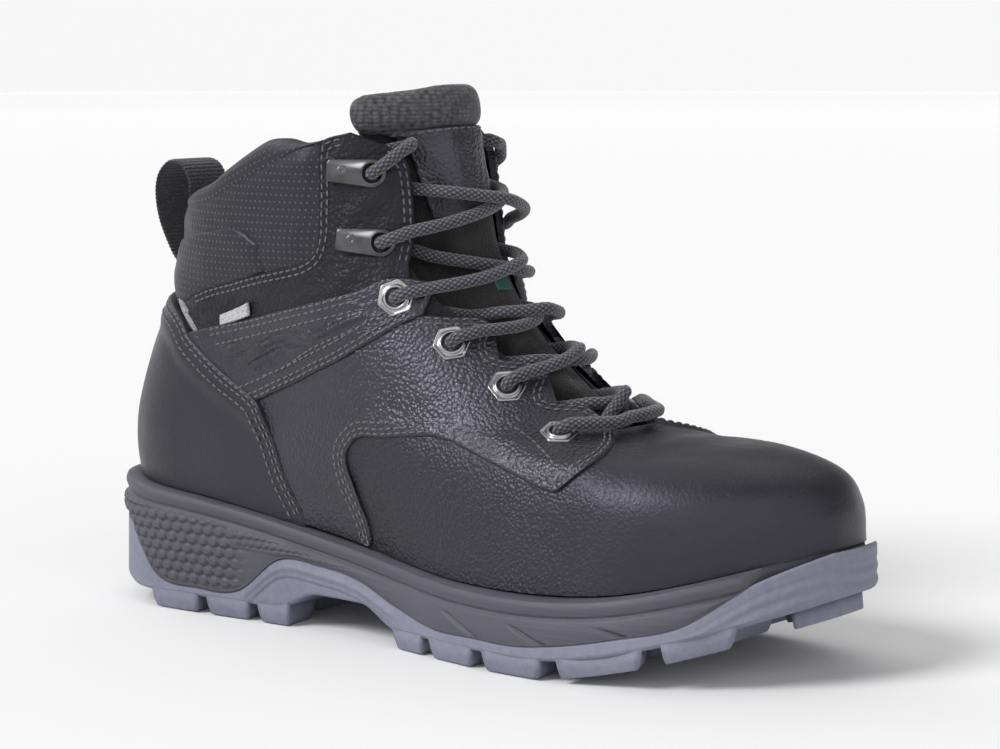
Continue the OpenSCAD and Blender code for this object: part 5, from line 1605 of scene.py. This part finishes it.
# The speckle is a faint random tone. Painted shade: from 6 m out to the backdrop the floor is painted darker,
# to offset the backdrop's light on it so the floor reads as one tone.
away = n.add("ShaderNodeVectorMath", Vector=n.position())
away.operation = "LENGTH"
speckle = n.mix(n.noise(n.position(), 3.0), FLOOR_DARK, FLOOR_PALE)
n.set(floor_shader, "Base Color", n.mix(n.ramp(away.outputs["Value"], 0.0, 1.0, 6.0, STAGE_RADIUS), speckle,
                                        FLOOR_FAR_SHADE))


def stage_rings(name, rows, finish):
    """Round sheet through (radius, height) rows about the object."""
    turn = np.linspace(0, 2 * np.pi, STAGE_SIDES, endpoint=False)
    grid = np.array([np.stack([r * np.cos(turn), r * np.sin(turn), np.full(STAGE_SIDES, z)], -1)
                     for r, z in rows])
    faces = grid_faces(len(rows), STAGE_SIDES, wrap=True, flip=True)
    if rows[0][0] < rows[-1][0]:
        faces.append(list(range(STAGE_SIDES)))
    sheet = mesh_object(name, grid.reshape(-1, 3) / MM, faces)
    bpy.context.collection.objects.link(sheet)
    sheet.data.materials.append(finish)


stage_rings("floor", [(r, FLOOR_Z) for r in FLOOR_RINGS], floor_material)
backdrop_material, backdrop_shader = material("backdrop", (0.0, 0.0, 0.0), 1.0)
backdrop_shader.inputs["Emission Color"].default_value = (1.0, 1.0, 1.0, 1)
backdrop_shader.inputs["Emission Strength"].default_value = BACKDROP_LIGHT
stage_rings("backdrop", [(STAGE_RADIUS, h) for h in np.linspace(-0.01, BACKDROP_TOP, 5)], backdrop_material)

bpy.context.scene.view_settings.view_transform = "Standard"
world = bpy.data.worlds.new("studio")
world.use_nodes = True
world.node_tree.nodes["Background"].inputs["Color"].default_value = (1.0, 1.0, 1.0, 1)
world.node_tree.nodes["Background"].inputs["Strength"].default_value = WORLD_LIGHT
bpy.context.scene.world = world


def soft_sun(name, direction, energy, width):
    """A wide, even light from far away, so the floor stays one tone."""
    data = bpy.data.lights.new(name, "SUN")
    data.energy = energy
    data.angle = width
    lamp = bpy.data.objects.new(name, data)
    lamp.rotation_euler = Vector(direction).to_track_quat("Z", "Y").to_euler()
    bpy.context.collection.objects.link(lamp)


soft_sun("overhead", (-0.35, 0.25, 1.0), 0.7, 1.2)
soft_sun("key", (-0.45, -1.0, 0.95), 2.5, 0.45)
soft_sun("front", (0.7, -1.0, 0.5), 0.6, 0.9)
soft_sun("rim", (-1.4, 0.3, 0.9), 0.4, 0.6)
soft_sun("toe", (1.2, -0.3, 0.7), 0.4, 0.8)
